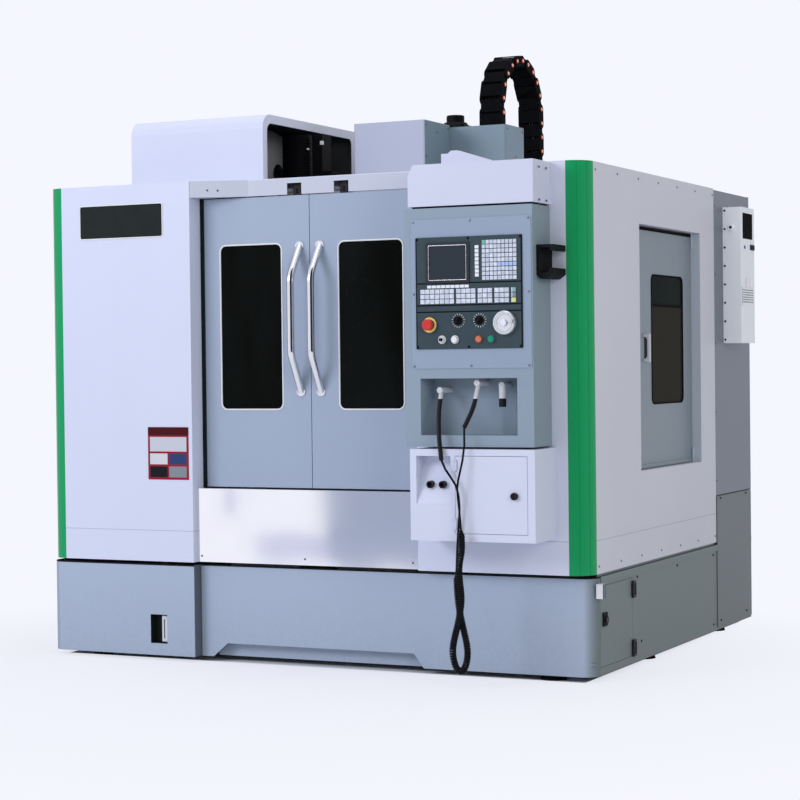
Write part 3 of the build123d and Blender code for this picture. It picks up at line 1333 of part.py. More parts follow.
# Storage box under the console: a folded box with a tapered niche for the air sockets
box_hinge_x = BOX_DOOR_X0 + DOOR_GAP + BOX_HINGE_R
box_hinge_y = -BOX_OUT - 2.5
with BuildPart() as storage_box:
    block(BOX_X0, BOX_X1, -BOX_OUT, 0, BOX_Z0, BOX_Z1)
    block(
        BOX_X0 + SHEET, BOX_X1 - SHEET, -BOX_OUT + SHEET, 1, BOX_Z0 + SHEET, BOX_Z1 - SHEET,
        Mode.SUBTRACT,
    )
    front_pad(
        BOX_DOOR_X0, BOX_DOOR_X1, BOX_DOOR_Z0, BOX_DOOR_Z1, -BOX_OUT - 1, SHEET + 2,
        mode=Mode.SUBTRACT,
    )
    # The niche's tray is deep at the top and flush at the foot
    wedge = [
        (-BOX_OUT, BOX_NICHE_Z0 - 8),
        (-BOX_OUT + BOX_NICHE_DEPTH + SHEET, BOX_NICHE_Z1 - 20),
        (-BOX_OUT + BOX_NICHE_DEPTH + SHEET, BOX_NICHE_Z1 + SHEET),
        (-BOX_OUT, BOX_NICHE_Z1 + SHEET),
    ]
    prism(side(BOX_NICHE_X0 - SHEET), wedge, BOX_NICHE_X1 - BOX_NICHE_X0 + 2 * SHEET)
    hollow = [
        (-BOX_OUT - 1, BOX_NICHE_Z0),
        (-BOX_OUT + 2, BOX_NICHE_Z0),
        (-BOX_OUT + BOX_NICHE_DEPTH, BOX_NICHE_Z1 - 22),
        (-BOX_OUT + BOX_NICHE_DEPTH, BOX_NICHE_Z1),
        (-BOX_OUT - 1, BOX_NICHE_Z1),
    ]
    prism(side(BOX_NICHE_X0), hollow, BOX_NICHE_X1 - BOX_NICHE_X0, Mode.SUBTRACT)
    # Two air sockets in the sloping face
    with BuildSketch(front(-BOX_OUT + 12)) as sockets:
        with Locations(*[(x, SOCKET_Z) for x in SOCKETS_X]):
            Circle(SOCKET_R)
    extrude(sockets.sketch, amount=-28)
    with BuildSketch(front(-BOX_OUT + 11)) as socket_bores:
        with Locations(*[(x, SOCKET_Z) for x in SOCKETS_X]):
            Circle(SOCKET_R - 5)
    extrude(socket_bores.sketch, amount=-16, mode=Mode.SUBTRACT)
    # Hinge lugs left of the door, each pair with its pin
    for z in BOX_HINGES_Z:
        for lug_z in (z - BOX_HINGE_LENGTH / 2 - BOX_LUG, z + BOX_HINGE_LENGTH / 2 + SLIDE_GAP):
            block(
                BOX_DOOR_X0 - 10, box_hinge_x, -BOX_OUT - 6.5, -BOX_OUT - RUN_GAP,
                lug_z, lug_z + BOX_LUG - SLIDE_GAP,
            )
            block(
                BOX_DOOR_X0 - 10, BOX_DOOR_X0 - 2, -BOX_OUT - 1, -BOX_OUT + 1,
                lug_z, lug_z + BOX_LUG - SLIDE_GAP,
            )
        disc(
            level(z - BOX_HINGE_LENGTH / 2 - BOX_LUG), box_hinge_x, box_hinge_y, BOX_PIN_R,
            BOX_HINGE_LENGTH + 2 * BOX_LUG,
        )
keep(storage_box.part, "storage_box")

# Its door, hinged on the left, with a quarter-turn lock
with BuildPart() as storage_door:
    front_pad(
        BOX_DOOR_X0 + DOOR_GAP, BOX_DOOR_X1 - DOOR_GAP, BOX_DOOR_Z0 + DOOR_GAP, BOX_DOOR_Z1 - DOOR_GAP,
        -BOX_OUT, SHEET,
    )
    for z in BOX_HINGES_Z:
        foot = level(z - BOX_HINGE_LENGTH / 2)
        disc(foot, box_hinge_x, box_hinge_y, BOX_HINGE_R, BOX_HINGE_LENGTH)
        disc(foot, box_hinge_x, box_hinge_y, BOX_PIN_R + FIT, BOX_HINGE_LENGTH, Mode.SUBTRACT)
    disc(front(-BOX_OUT), BOX_LOCK_X, BOX_LOCK_Z, LOCK_R, LOCK_OUT)
    front_pad(
        BOX_LOCK_X - 3, BOX_LOCK_X + 3, BOX_LOCK_Z - LOCK_R - 1, BOX_LOCK_Z + LOCK_R + 1,
        -BOX_OUT - LOCK_OUT - 1, 5, mode=Mode.SUBTRACT,
    )
keep(storage_door.part, "storage_door")

# Electrical cabinet behind the guard: a folded case round the column, open behind its two doors
cab_front = GUARD_DEPTH + RUN_GAP
door_y = CAB_BACK - CAB_DOOR_THICK
with BuildPart() as electrical_cabinet:
    block(-HALF_WIDTH, HALF_WIDTH, cab_front, door_y - CAB_DOOR_GAP, CAB_FOOT, CAB_TOP)
    rear_top = electrical_cabinet.edges().filter_by(Axis.X).group_by(Axis.Z)[-1].sort_by(Axis.Y)[-1]
    fillet(rear_top, CAB_EDGE_R / 2)
    block(
        -COLUMN_HALF - 20, COLUMN_HALF + 20, cab_front - 1, COLUMN_BACK + 12,
        CAB_FOOT - 1, CAB_TOP + 1, Mode.SUBTRACT,
    )
    block(
        -BED_HALF - 10, BED_HALF + 10, cab_front - 1, COLUMN_BACK + 12,
        CAB_FOOT - 1, BED_TOP + 6, Mode.SUBTRACT,
    )
    for s in (-1, 1):
        wide = sorted([s * (COLUMN_HALF + 20 + CAB_WALL), s * (HALF_WIDTH - CAB_WALL)])
        block(
            wide[0], wide[1], cab_front + CAB_WALL, door_y, CAB_SEAM_Z, CAB_TOP - CAB_WALL,
            Mode.SUBTRACT,
        )
        narrow = sorted([s * CAB_DOOR_EDGE, s * (COLUMN_HALF + 30)])
        block(
            narrow[0], narrow[1], COLUMN_BACK + 12 + CAB_WALL, door_y,
            CAB_SEAM_Z, CAB_TOP - CAB_WALL, Mode.SUBTRACT,
        )
        plinth = sorted([s * (BED_HALF + 10 + CAB_WALL), s * (HALF_WIDTH - CAB_WALL)])
        block(
            plinth[0], plinth[1], cab_front + CAB_WALL, door_y - CAB_DOOR_GAP - CAB_WALL,
            CAB_FOOT - 1, CAB_SEAM_Z - CAB_WALL, Mode.SUBTRACT,
        )
    # Pressed seam round the lower third, where the lower panels are screwed on
    for s in (-1, 1):
        seam = sorted([s * (HALF_WIDTH - 1.5), s * (HALF_WIDTH + 1)])
        block(seam[0], seam[1], cab_front, door_y, CAB_SEAM_Z - 1.5, CAB_SEAM_Z + 1.5, Mode.SUBTRACT)
    # Lugs over and under each door, with short pins
    for s in (-1, 1):
        lug = sorted([s * (HALF_WIDTH - 2), s * (CAB_HINGE_X - 8)])
        for z, pin_z in ((CAB_TOP - 2 + SLIDE_GAP, -CAB_PIN), (CAB_SEAM_Z - 2, 2)):
            block(lug[0], lug[1], door_y - CAB_DOOR_GAP - 2, CAB_BACK - 1, z, z + 4 - 2 * SLIDE_GAP)
            disc(level(z + pin_z), s * CAB_HINGE_X, CAB_HINGE_Y, HINGE_PIN_R, CAB_PIN + 2)
keep(electrical_cabinet.part, "electrical_cabinet")


def cabinet_door(s):
    """A folded rear door on side s, with a swing handle near the middle."""
    ends = sorted([s * CAB_DOOR_GAP / 2, s * (HALF_WIDTH - 2)])
    block(ends[0], ends[1], door_y, CAB_BACK, CAB_SEAM_Z + 2, CAB_TOP - 2)
    block(
        ends[0] + SHEET, ends[1] - SHEET, door_y - 1, CAB_BACK - SHEET,
        CAB_SEAM_Z + 2 + SHEET, CAB_TOP - 2 - SHEET, Mode.SUBTRACT,
    )
    disc(
        level(CAB_SEAM_Z), s * CAB_HINGE_X, CAB_HINGE_Y, HINGE_PIN_R + FIT,
        CAB_TOP - CAB_SEAM_Z, Mode.SUBTRACT,
    )
    # Recess for the swing handle, and the handle folded flat in it
    handle_x = s * CAB_HANDLE_X
    foot = CAB_HANDLE_Z - CAB_HANDLE_LENGTH / 2
    top = CAB_HANDLE_Z + CAB_HANDLE_LENGTH / 2
    block(handle_x - 16, handle_x + 16, CAB_BACK - 10, CAB_BACK - SHEET, foot, top)
    block(handle_x - 12, handle_x + 12, CAB_BACK - 7, CAB_BACK + 1, foot + 4, top - 4, Mode.SUBTRACT)
    block(handle_x - 8, handle_x + 8, CAB_BACK - 8, CAB_BACK - 1, foot + 10, top - 10)


with BuildPart() as cabinet_door_left:
    cabinet_door(-1)
keep(cabinet_door_left.part, "cabinet_door_left")
with BuildPart() as cabinet_door_right:
    cabinet_door(1)
keep(cabinet_door_right.part, "cabinet_door_right")

# Cabinet cooler on the cabinet's right wall: a case with an air grille and a display window
with BuildPart() as cabinet_cooler:
    block(HALF_WIDTH, HALF_WIDTH + COOLER_OUT, COOLER_Y0, COOLER_Y1, COOLER_Z0, COOLER_Z1)
    fillet(cabinet_cooler.edges().filter_by(Axis.Z).group_by(Axis.X)[-1], 6)
    cooler_y = (COOLER_Y0 + COOLER_Y1) / 2
    side_pad(
        cooler_y - 9 - COOLER_WINDOW_HALF, cooler_y - 9 + COOLER_WINDOW_HALF,
        COOLER_WINDOW_Z0, COOLER_WINDOW_Z1, HALF_WIDTH + COOLER_OUT + 1, 5, radius=4,
        mode=Mode.SUBTRACT,
    )
    with BuildSketch(side(HALF_WIDTH + COOLER_OUT + 1)) as vents:
        with Locations((cooler_y - 7, COOLER_GRILLE_Z)):
            with GridLocations(16, 10, 10, 6):
                SlotOverall(11, 5)
    extrude(vents.sketch, amount=-6, mode=Mode.SUBTRACT)
    disc(front(COOLER_Y0), HALF_WIDTH + 36, COOLER_PLUG_Z, 11, 10)
keep(cabinet_cooler.part, "cabinet_cooler")

# Spindle head: casting with a round nose housing, a guide plate on the column's ways and the
# ball screw's nut bracket, which reaches into the column's recess
with BuildPart() as spindle_head:
    block(-HEAD_HALF, HEAD_HALF, HEAD_FRONT, plate_back, NOSE_Z + QUILL_HEIGHT, HEAD_TOP)
    chamfer(spindle_head.edges().filter_by(Axis.Z).group_by(Axis.Y)[0], 30)
    disc(level(NOSE_Z + NOSE_HEIGHT + SLIDE_GAP), 0, SPINDLE_Y, QUILL_R, QUILL_HEIGHT)
    block(
        -HEAD_PLATE_HALF, HEAD_PLATE_HALF, plate_back - HEAD_PLATE, plate_back,
        HEAD_PLATE_Z0, HEAD_TOP,
    )
    block(
        -NUT_HALF, NUT_HALF, plate_back - 1, SCREW_Y + NUT_HALF, NUT_Z0, NUT_Z1,
    )
    disc(level(NUT_Z0 - 1), 0, SCREW_Y, BALL_SCREW_R + FIT, NUT_Z1 - NUT_Z0 + 2, Mode.SUBTRACT)
    disc(
        level(NOSE_Z), 0, SPINDLE_Y, SPINDLE_R + FIT, HEAD_TOP - NOSE_Z - 20, Mode.SUBTRACT,
    )
keep(spindle_head.part, "spindle_head")

# Spindle: a shaft in the head with a flanged nose, a 7:24 taper and two drive keys
with BuildPart() as spindle:
    disc(level(NOSE_Z), 0, SPINDLE_Y, NOSE_R, NOSE_HEIGHT)
    disc(level(NOSE_Z), 0, SPINDLE_Y, SPINDLE_R, HEAD_TOP - NOSE_Z - 25)
    with BuildSketch(level(NOSE_Z)):
        with Locations((0, SPINDLE_Y)):
            Circle(TAPER_MOUTH_R)
    with BuildSketch(level(NOSE_Z + TAPER_LENGTH)):
        with Locations((0, SPINDLE_Y)):
            Circle(TAPER_MOUTH_R - TAPER_LENGTH * TAPER_RATE / 2)
    loft(mode=Mode.SUBTRACT)
    disc(level(NOSE_Z + TAPER_LENGTH), 0, SPINDLE_Y, DRAWBAR_R, 90, Mode.SUBTRACT)
    for x in (-1, 1):
        block(
            x * 33 - 8, x * 33 + 8, SPINDLE_Y - 8, SPINDLE_Y + 8, NOSE_Z - 8, NOSE_Z + 1,
        )
keep(spindle.part, "spindle")

# Spindle motor on top of the head, in line with the spindle
with BuildPart() as spindle_motor:
    with BuildSketch(level(HEAD_TOP)):
        with Locations((0, SPINDLE_Y)):
            RectangleRounded(2 * MOTOR_HALF, 2 * MOTOR_HALF, 20)
    extrude(amount=MOTOR_TOP - HEAD_TOP)
keep(spindle_motor.part, "spindle_motor")

# Head cover: a folded hood round the head and the motor, with the junction box behind it,
# whose floor sheet lies on the casting
with BuildPart() as head_cover:
    block(-HOOD_HALF, HOOD_HALF, HOOD_Y0, HOOD_Y1, HOOD_FOOT, HOOD_TOP)
    fillet(head_cover.edges().filter_by(Axis.Z).group_by(Axis.Y)[0], HOOD_R)
    block(-HOOD_HALF, JUNCTION_X1, HOOD_Y1 - SHEET, JUNCTION_Y1, HEAD_TOP, JUNCTION_TOP)
    fillet(head_cover.edges().filter_by(Axis.Z).sort_by(Axis.X)[-1], HOOD_R)
    block(
        -HOOD_HALF + SHEET, HOOD_HALF - SHEET, HOOD_Y0 + SHEET, HOOD_Y1 - SHEET,
        HOOD_FOOT - 1, HOOD_TOP - SHEET, Mode.SUBTRACT,
    )
    block(
        -HOOD_HALF + SHEET, HOOD_HALF - SHEET, HOOD_Y1 - SHEET - 1, HOOD_Y1 + 1,
        HOOD_FOOT - 1, HEAD_TOP, Mode.SUBTRACT,
    )
    block(
        -HOOD_HALF + SHEET, JUNCTION_X1 - SHEET, HOOD_Y1, JUNCTION_Y1 - SHEET,
        HEAD_TOP + SHEET, JUNCTION_TOP - SHEET, Mode.SUBTRACT,
    )
keep(head_cover.part, "head_cover")

# Tool magazine: bracket casting on the column's left, with the disc's journal and the cam box
hub_x = DISC_X + DISC_THICK
with BuildPart() as magazine_frame:
    block(hub_x + 14, -COLUMN_HALF, COLUMN_FRONT + 10, COLUMN_FRONT + 110, BEAM_Z0, BEAM_Z1)
    block(
        hub_x + 14, hub_x + 74, DISC_Y - 60, COLUMN_FRONT + 110, BEAM_Z0, BEAM_Z1,
    )
    block(hub_x + 14, hub_x + 54, DISC_Y - 60, DISC_Y + 60, BEAM_Z1, DISC_Z + 60)
    disc(side(hub_x + SLIDE_GAP), DISC_Y, DISC_Z, 60, 14)
    disc(side(DISC_X - 6), DISC_Y, DISC_Z, JOURNAL_R, 40)
    block(hub_x + 40, ARM_X, SPINDLE_Y - 60, SPINDLE_Y + 60, BEAM_Z0, BEAM_Z1)
    block(
        ARM_X - CAM_HALF, ARM_X + CAM_HALF, SPINDLE_Y - CAM_HALF, SPINDLE_Y + CAM_HALF,
        CAM_FOOT, CAM_TOP,
    )
    block(
        ARM_MOTOR_X - 52, ARM_MOTOR_X + 52, SPINDLE_Y - 52, SPINDLE_Y + 52, BEAM_Z1, ARM_MOTOR_Z0,
    )
    disc(level(CAM_FOOT - 1), ARM_X, SPINDLE_Y, ARM_SHAFT_R + FIT, 120, Mode.SUBTRACT)
    disc(side(DISC_X - 6), DISC_Y, DISC_Z, JOURNAL_R + 8, 6 - SLIDE_GAP)
keep(magazine_frame.part, "magazine_frame")

# Magazine disc with its tool pots, which stand out to the left of its rim
with BuildPart() as magazine_disc:
    disc(side(DISC_X), DISC_Y, DISC_Z, DISC_R, DISC_THICK)
    with BuildSketch(side(DISC_X - POT_LENGTH)) as pots:
        with Locations((DISC_Y, DISC_Z)):
            with PolarLocations(POT_PITCH_R, POT_COUNT):
                Circle(POT_R)
    extrude(pots.sketch, amount=POT_LENGTH)
    with BuildSketch(side(DISC_X - POT_LENGTH)) as pot_bores:
        with Locations((DISC_Y, DISC_Z)):
            with PolarLocations(POT_PITCH_R, POT_COUNT):
                Circle(POT_BORE_R)
    extrude(pot_bores.sketch, amount=POT_LENGTH - 20, mode=Mode.SUBTRACT)
    with BuildSketch(side(DISC_X)) as windows:
        with Locations((DISC_Y, DISC_Z)):
            with PolarLocations(150, 6):
                Circle(45)
    extrude(windows.sketch, amount=DISC_THICK, mode=Mode.SUBTRACT)
    disc(side(DISC_X - 1), DISC_Y, DISC_Z, JOURNAL_R + FIT, DISC_THICK + 2, Mode.SUBTRACT)
keep(magazine_disc.part, "magazine_disc")

# Twin arm of the tool changer: a shaft in the cam box and two open grippers
arm_reach = -ARM_X
with BuildPart() as tool_arm:
    with BuildSketch(level(ARM_Z)):
        with Locations((ARM_X, SPINDLE_Y)):
            SlotOverall(2 * arm_reach + 2 * ARM_GRIP_R + 36, ARM_WIDTH, rotation=90)
            Circle(ARM_SHAFT_R + 24)
        with Locations((ARM_X, SPINDLE_Y - arm_reach), (ARM_X, SPINDLE_Y + arm_reach)):
            Circle(ARM_GRIP_R, mode=Mode.SUBTRACT)
        with Locations((ARM_X + ARM_WIDTH / 2, SPINDLE_Y - arm_reach)):
            Rectangle(ARM_WIDTH, 2 * ARM_GRIP_R - 12, mode=Mode.SUBTRACT)
        with Locations((ARM_X - ARM_WIDTH / 2, SPINDLE_Y + arm_reach)):
            Rectangle(ARM_WIDTH, 2 * ARM_GRIP_R - 12, mode=Mode.SUBTRACT)
    extrude(amount=ARM_THICK)
    disc(level(ARM_Z + ARM_THICK), ARM_X, SPINDLE_Y, ARM_SHAFT_R, CAM_FOOT + 110 - ARM_Z - ARM_THICK)
keep(tool_arm.part, "tool_arm")

# Magazine cover: one sheet rolled over the front top edge, closed on the left and behind,
# open to the right inside a folded lip
with BuildPart() as magazine_cover:
    block(MAG_X0, MAG_X1, MAG_Y0, MAG_Y1, HEIGHT, MAG_TOP)
    fillet(magazine_cover.edges().filter_by(Axis.X).group_by(Axis.Z)[-1].sort_by(Axis.Y)[0], MAG_R)
    with BuildSketch(side(MAG_X0 + SHEET)) as room:
        with BuildLine():
            FilletPolyline(
                (MAG_Y0 + SHEET, HEIGHT - 1),
                (MAG_Y0 + SHEET, MAG_TOP - SHEET),
                (MAG_Y1 - SHEET, MAG_TOP - SHEET),
                (MAG_Y1 - SHEET, HEIGHT - 1),
                radius=[MAG_R - SHEET, 2],
            )
            Line((MAG_Y1 - SHEET, HEIGHT - 1), (MAG_Y0 + SHEET, HEIGHT - 1))
        make_face()
    extrude(room.sketch, amount=MAG_X1 - MAG_X0 - 2 * SHEET, mode=Mode.SUBTRACT)
    with BuildSketch(side(MAG_X1 - SHEET - 1)) as mouth:
        with BuildLine():
            FilletPolyline(
                (MAG_Y0 + MAG_LIP, HEIGHT - 1),
                (MAG_Y0 + MAG_LIP, MAG_TOP - MAG_LIP),
                (MAG_Y1 - MAG_LIP, MAG_TOP - MAG_LIP),
                (MAG_Y1 - MAG_LIP, HEIGHT - 1),
                radius=[MAG_R - MAG_LIP + 10, MAG_R - MAG_LIP],
            )
            Line((MAG_Y1 - MAG_LIP, HEIGHT - 1), (MAG_Y0 + MAG_LIP, HEIGHT - 1))
        make_face()
    extrude(mouth.sketch, amount=SHEET + 2, mode=Mode.SUBTRACT)
keep(magazine_cover.part, "magazine_cover")

# Cable chain: links whose side plates lie outside and inside each other in turn, from the
# junction box up over a half loop and down to the shelf on the column
loop_r = (CHAIN_Y1 - CHAIN_Y0 - CHAIN_THICK) / 2
loop_y = (CHAIN_Y0 + CHAIN_Y1) / 2
loop_z = CHAIN_TOP - CHAIN_THICK / 2 - loop_r
rise = loop_z - JUNCTION_TOP - SLIDE_GAP
fall = loop_z - CHAIN_SHELF_Z
chain_pitch = (rise + pi * loop_r + fall) / CHAIN_LINKS


chain_start = JUNCTION_TOP + SLIDE_GAP


def chain_point(s):
    """The chain's middle line at the distance s from its moving end, as y and z."""
    if s <= rise:
        return (loop_y - loop_r, chain_start + s)
    if s <= rise + pi * loop_r:
        turn = (s - rise) / loop_r
        return (loop_y - loop_r * cos(turn), loop_z + loop_r * sin(turn))
    return (loop_y + loop_r, loop_z - (s - rise - pi * loop_r))


def chain_link(i):
    """One link: two side plates joined by two lids; odd links fit inside even ones."""
    start = Vector(*chain_point(i * chain_pitch))
    end = Vector(*chain_point((i + 1) * chain_pitch))
    along = (end - start).normalized()
    middle = (start + end) / 2
    origin = at(CHAIN_X0, middle.X, middle.Y)
    plate = Plane(origin=origin, x_dir=(0, along.X, along.Y), z_dir=(1, 0, 0))
    length = (end - start).length
    thick = CHAIN_SIDE / 2
    inset = thick + RUN_GAP if i % 2 else 0.0
    height = CHAIN_THICK - 2 * (CHAIN_BAR + RUN_GAP) if i % 2 else CHAIN_THICK
    width = CHAIN_X1 - CHAIN_X0
    for x in (inset, width - inset - thick):
        with BuildSketch(plane_at(plate, x)) as outline:
            SlotOverall(length + height, height)
            if i in (0, CHAIN_LINKS - 1):
                # The chain's ends are cut square for their brackets
                free = -1 if i == 0 else 1
                with Locations((free * length / 4, 0)):
                    Rectangle(length / 2, height)
                with Locations((free * (length / 2 + height / 2), 0)):
                    Rectangle(height, height, mode=Mode.SUBTRACT)
        extrude(outline.sketch, amount=thick)
    for v in (-1, 1):
        with BuildSketch(plane_at(plate, inset + thick / 2)) as lid:
            with Locations((0, v * (height - CHAIN_BAR) / 2)):
                Rectangle(length - CHAIN_SLIT, CHAIN_BAR)
        extrude(lid.sketch, amount=width - 2 * inset - thick)
    if i % 2 == 0:
        joints = [(length / 2, 0)] if i == 0 else [(-length / 2, 0), (length / 2, 0)]
        with BuildSketch(plane_at(plate, width)) as pins:
            with Locations(*joints):
                Circle(CHAIN_PIN_R)
        extrude(pins.sketch, amount=CHAIN_PIN_OUT)


def plane_at(plane, distance):
    """The same plane moved along its normal."""
    return plane.offset(distance)


links = []
for i in range(CHAIN_LINKS):
    with BuildPart() as link:
        chain_link(i)
    links.append(link.part)
cable_chain = Compound(children=links)
keep(cable_chain, "cable_chain")


def tube(points, radius, fit=0.45):
    """A tube of straight runs and tangent arcs, each arc as large as its two runs allow."""
    route = [Vector(*at(*p)) for p in points]
    runs = [b - a for a, b in zip(route, route[1:])]
    radii = []
    for before, after in zip(runs, runs[1:]):
        half = radians(before.get_angle(after)) / 2
        radii.append(fit * min(before.length, after.length) / tan(half))
    print("radii", [round(r) for r in radii])
    with BuildLine() as path:
        FilletPolyline(*route, radius=radii)
    with BuildSketch(Plane(origin=path.line @ 0, z_dir=path.line % 0)) as section:
        Circle(radius)
    sweep(section.sketch, path=path.line)


# Fittings in the niche: two air valves with grips on their hoses, and a spare valve
left_grip = [(637, -130, 1035), (648, -176, 965), (660, -204, 885), (672, -210, 800)]
right_grip = [(781, -130, 1060), (782, -172, 985), (758, -203, 915)]
niche_back = NICHE_DEPTH - CON_OUT
with BuildPart() as niche_fittings:
    for x, z in ((637, 1045), (781, 1070)):
        disc(front(-142), x, z, VALVE_R, -142 - niche_back)
    disc(front(-120), 866, 1062, VALVE_R, -120 - niche_back)
    disc(level(985), 866, -110, VALVE_R + 2, 77)
    tube(left_grip, GRIP_R)
    tube(right_grip, GRIP_R)
keep(niche_fittings.part, "niche_fittings")

# Straight ends of the hose, from the grips down past the storage door's hinge edge
left_route = [
    left_grip[-1], (682.2, -215.1, 727.75), (697, -209, 655), (697, -207, 570), (721, -203, 485),
    (722, -202, 405),
]
right_route = [
    right_grip[-1], (743.6, -221.6, 873), (712, -224, 822), (702, -223, 760), (700, -222, 690),
    (701, -222, 575), (709, -226, 520),
]
with BuildPart() as left_lead:
    tube(left_route, HOSE_R)
keep(left_lead.part, "left_lead")
with BuildPart() as right_lead:
    tube(right_route, HOSE_R)
keep(right_lead.part, "right_lead")

# Curly middle of the hose: its outer shape, hanging in a loop that crosses itself once
curly_route = [
    right_route[-1], (717.8, -230.4, 459.5), (744, -226, 395), (752, -224, 315), (738, -226, 232),
    (711, -218, 150), (710, -214, 104), (725, -212, 60), (751, -212, 60), (765, -210, 104),
    (763, -206, 150), (738, -198, 232), (723, -201, 315), left_route[-1],
]
with BuildPart() as curly_lead:
    tube(curly_route, CURL_R)
keep(curly_lead.part, "curly_lead")
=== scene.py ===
import bmesh
import bpy
import json
import math
from mathutils import Matrix, Vector

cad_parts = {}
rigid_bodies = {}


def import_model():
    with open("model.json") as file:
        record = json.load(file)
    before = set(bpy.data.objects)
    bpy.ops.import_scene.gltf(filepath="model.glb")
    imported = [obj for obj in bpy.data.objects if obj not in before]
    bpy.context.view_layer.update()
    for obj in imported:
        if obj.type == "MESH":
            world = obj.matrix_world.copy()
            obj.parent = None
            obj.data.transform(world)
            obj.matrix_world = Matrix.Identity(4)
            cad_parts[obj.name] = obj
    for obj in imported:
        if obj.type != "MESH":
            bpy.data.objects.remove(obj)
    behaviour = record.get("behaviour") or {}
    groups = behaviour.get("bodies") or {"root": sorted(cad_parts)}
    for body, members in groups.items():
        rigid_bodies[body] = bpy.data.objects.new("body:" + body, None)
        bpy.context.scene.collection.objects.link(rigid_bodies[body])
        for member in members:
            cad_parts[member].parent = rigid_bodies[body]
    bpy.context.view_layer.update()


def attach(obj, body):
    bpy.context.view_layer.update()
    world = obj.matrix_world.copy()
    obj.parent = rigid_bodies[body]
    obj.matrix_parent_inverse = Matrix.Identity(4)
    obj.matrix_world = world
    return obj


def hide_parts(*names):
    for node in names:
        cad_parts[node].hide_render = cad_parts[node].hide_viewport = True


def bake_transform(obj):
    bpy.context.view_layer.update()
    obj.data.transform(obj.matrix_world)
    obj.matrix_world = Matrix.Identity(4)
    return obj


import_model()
objects = bpy.data.objects

# Sizes below are in millimetres, x from the middle of the guard, y from its front plane and
# z from the floor. The row's origin is in the middle of the footprint.
ORIGIN_X = 41.0
ORIGIN_Y = 897.0
MIDDLE = Vector((-ORIGIN_X, -ORIGIN_Y, 0.0)) / 1000


def spot(x, y, z):
    """A place on the machine in the shared frame, in metres."""
    return Vector((x, y, z)) / 1000 + MIDDLE


def placed(name, data):
    """A new object in the scene."""
    made = objects.new(name, data)
    bpy.context.collection.objects.link(made)
    return made


# Camera, which stands where the photograph was taken
CAMERA_PLACE = (3767, -6941, 1143.5)
PICTURE_PIXELS = 800
SENSOR_WIDTH = 36
YAW = math.radians(25.80)
PITCH = math.radians(1.005)
ROLL = math.radians(-0.663)
FOCAL_PIXELS = 2107.08

ahead = Vector((
    -math.sin(YAW) * math.cos(PITCH), math.cos(YAW) * math.cos(PITCH), -math.sin(PITCH)))
level_right = Vector((math.cos(YAW), math.sin(YAW), 0))
level_up = level_right.cross(ahead)
right = level_right * math.cos(ROLL) + level_up * math.sin(ROLL)
up = level_up * math.cos(ROLL) - level_right * math.sin(ROLL)
camera = placed("camera", bpy.data.cameras.new("camera"))
camera.data.sensor_width = SENSOR_WIDTH
camera.data.lens = SENSOR_WIDTH * FOCAL_PIXELS / PICTURE_PIXELS
camera.data.clip_end = 60
turn = Matrix((right, up, -ahead)).transposed().to_4x4()
camera.matrix_world = Matrix.Translation(spot(*CAMERA_PLACE)) @ turn
bpy.context.scene.camera = camera
bpy.context.scene.view_settings.view_transform = "Standard"


class Field:
    """A shader socket that Python's own arithmetic works on."""

    def __init__(self, tree, socket):
        self.tree = tree
        self.socket = socket

    def _math(self, operation, first, second):
        node = self.tree.nodes.new("ShaderNodeMath")
        node.operation = operation
        for socket, value in zip(node.inputs, (first, second)):
            if isinstance(value, Field):
                self.tree.links.new(value.socket, socket)
            else:
                socket.default_value = value
        return Field(self.tree, node.outputs[0])

    def __add__(self, other):
        return self._math("ADD", self, other)

    __radd__ = __add__

    def __sub__(self, other):
        return self._math("SUBTRACT", self, other)

    def __rsub__(self, other):
        return self._math("SUBTRACT", other, self)

    def __mul__(self, other):
        return self._math("MULTIPLY", self, other)

    __rmul__ = __mul__

    def __truediv__(self, other):
        return self._math("DIVIDE", self, other)

    def __pow__(self, other):
        return self._math("POWER", self, other)

    def __gt__(self, other):
        return self._math("GREATER_THAN", self, other)

    def __lt__(self, other):
        return self._math("LESS_THAN", self, other)

    def either(self, other):
        return self._math("MAXIMUM", self, other)

    def whole(self):
        return self._math("FLOOR", self, 0.0)

    def fraction(self):
        return self._math("FRACT", self, 0.0)

    def angle_to(self, other):
        return self._math("ARCTAN2", self, other)

    def clipped(self):
        return self._math("MINIMUM", self._math("MAXIMUM", self, 0.0), 1.0)


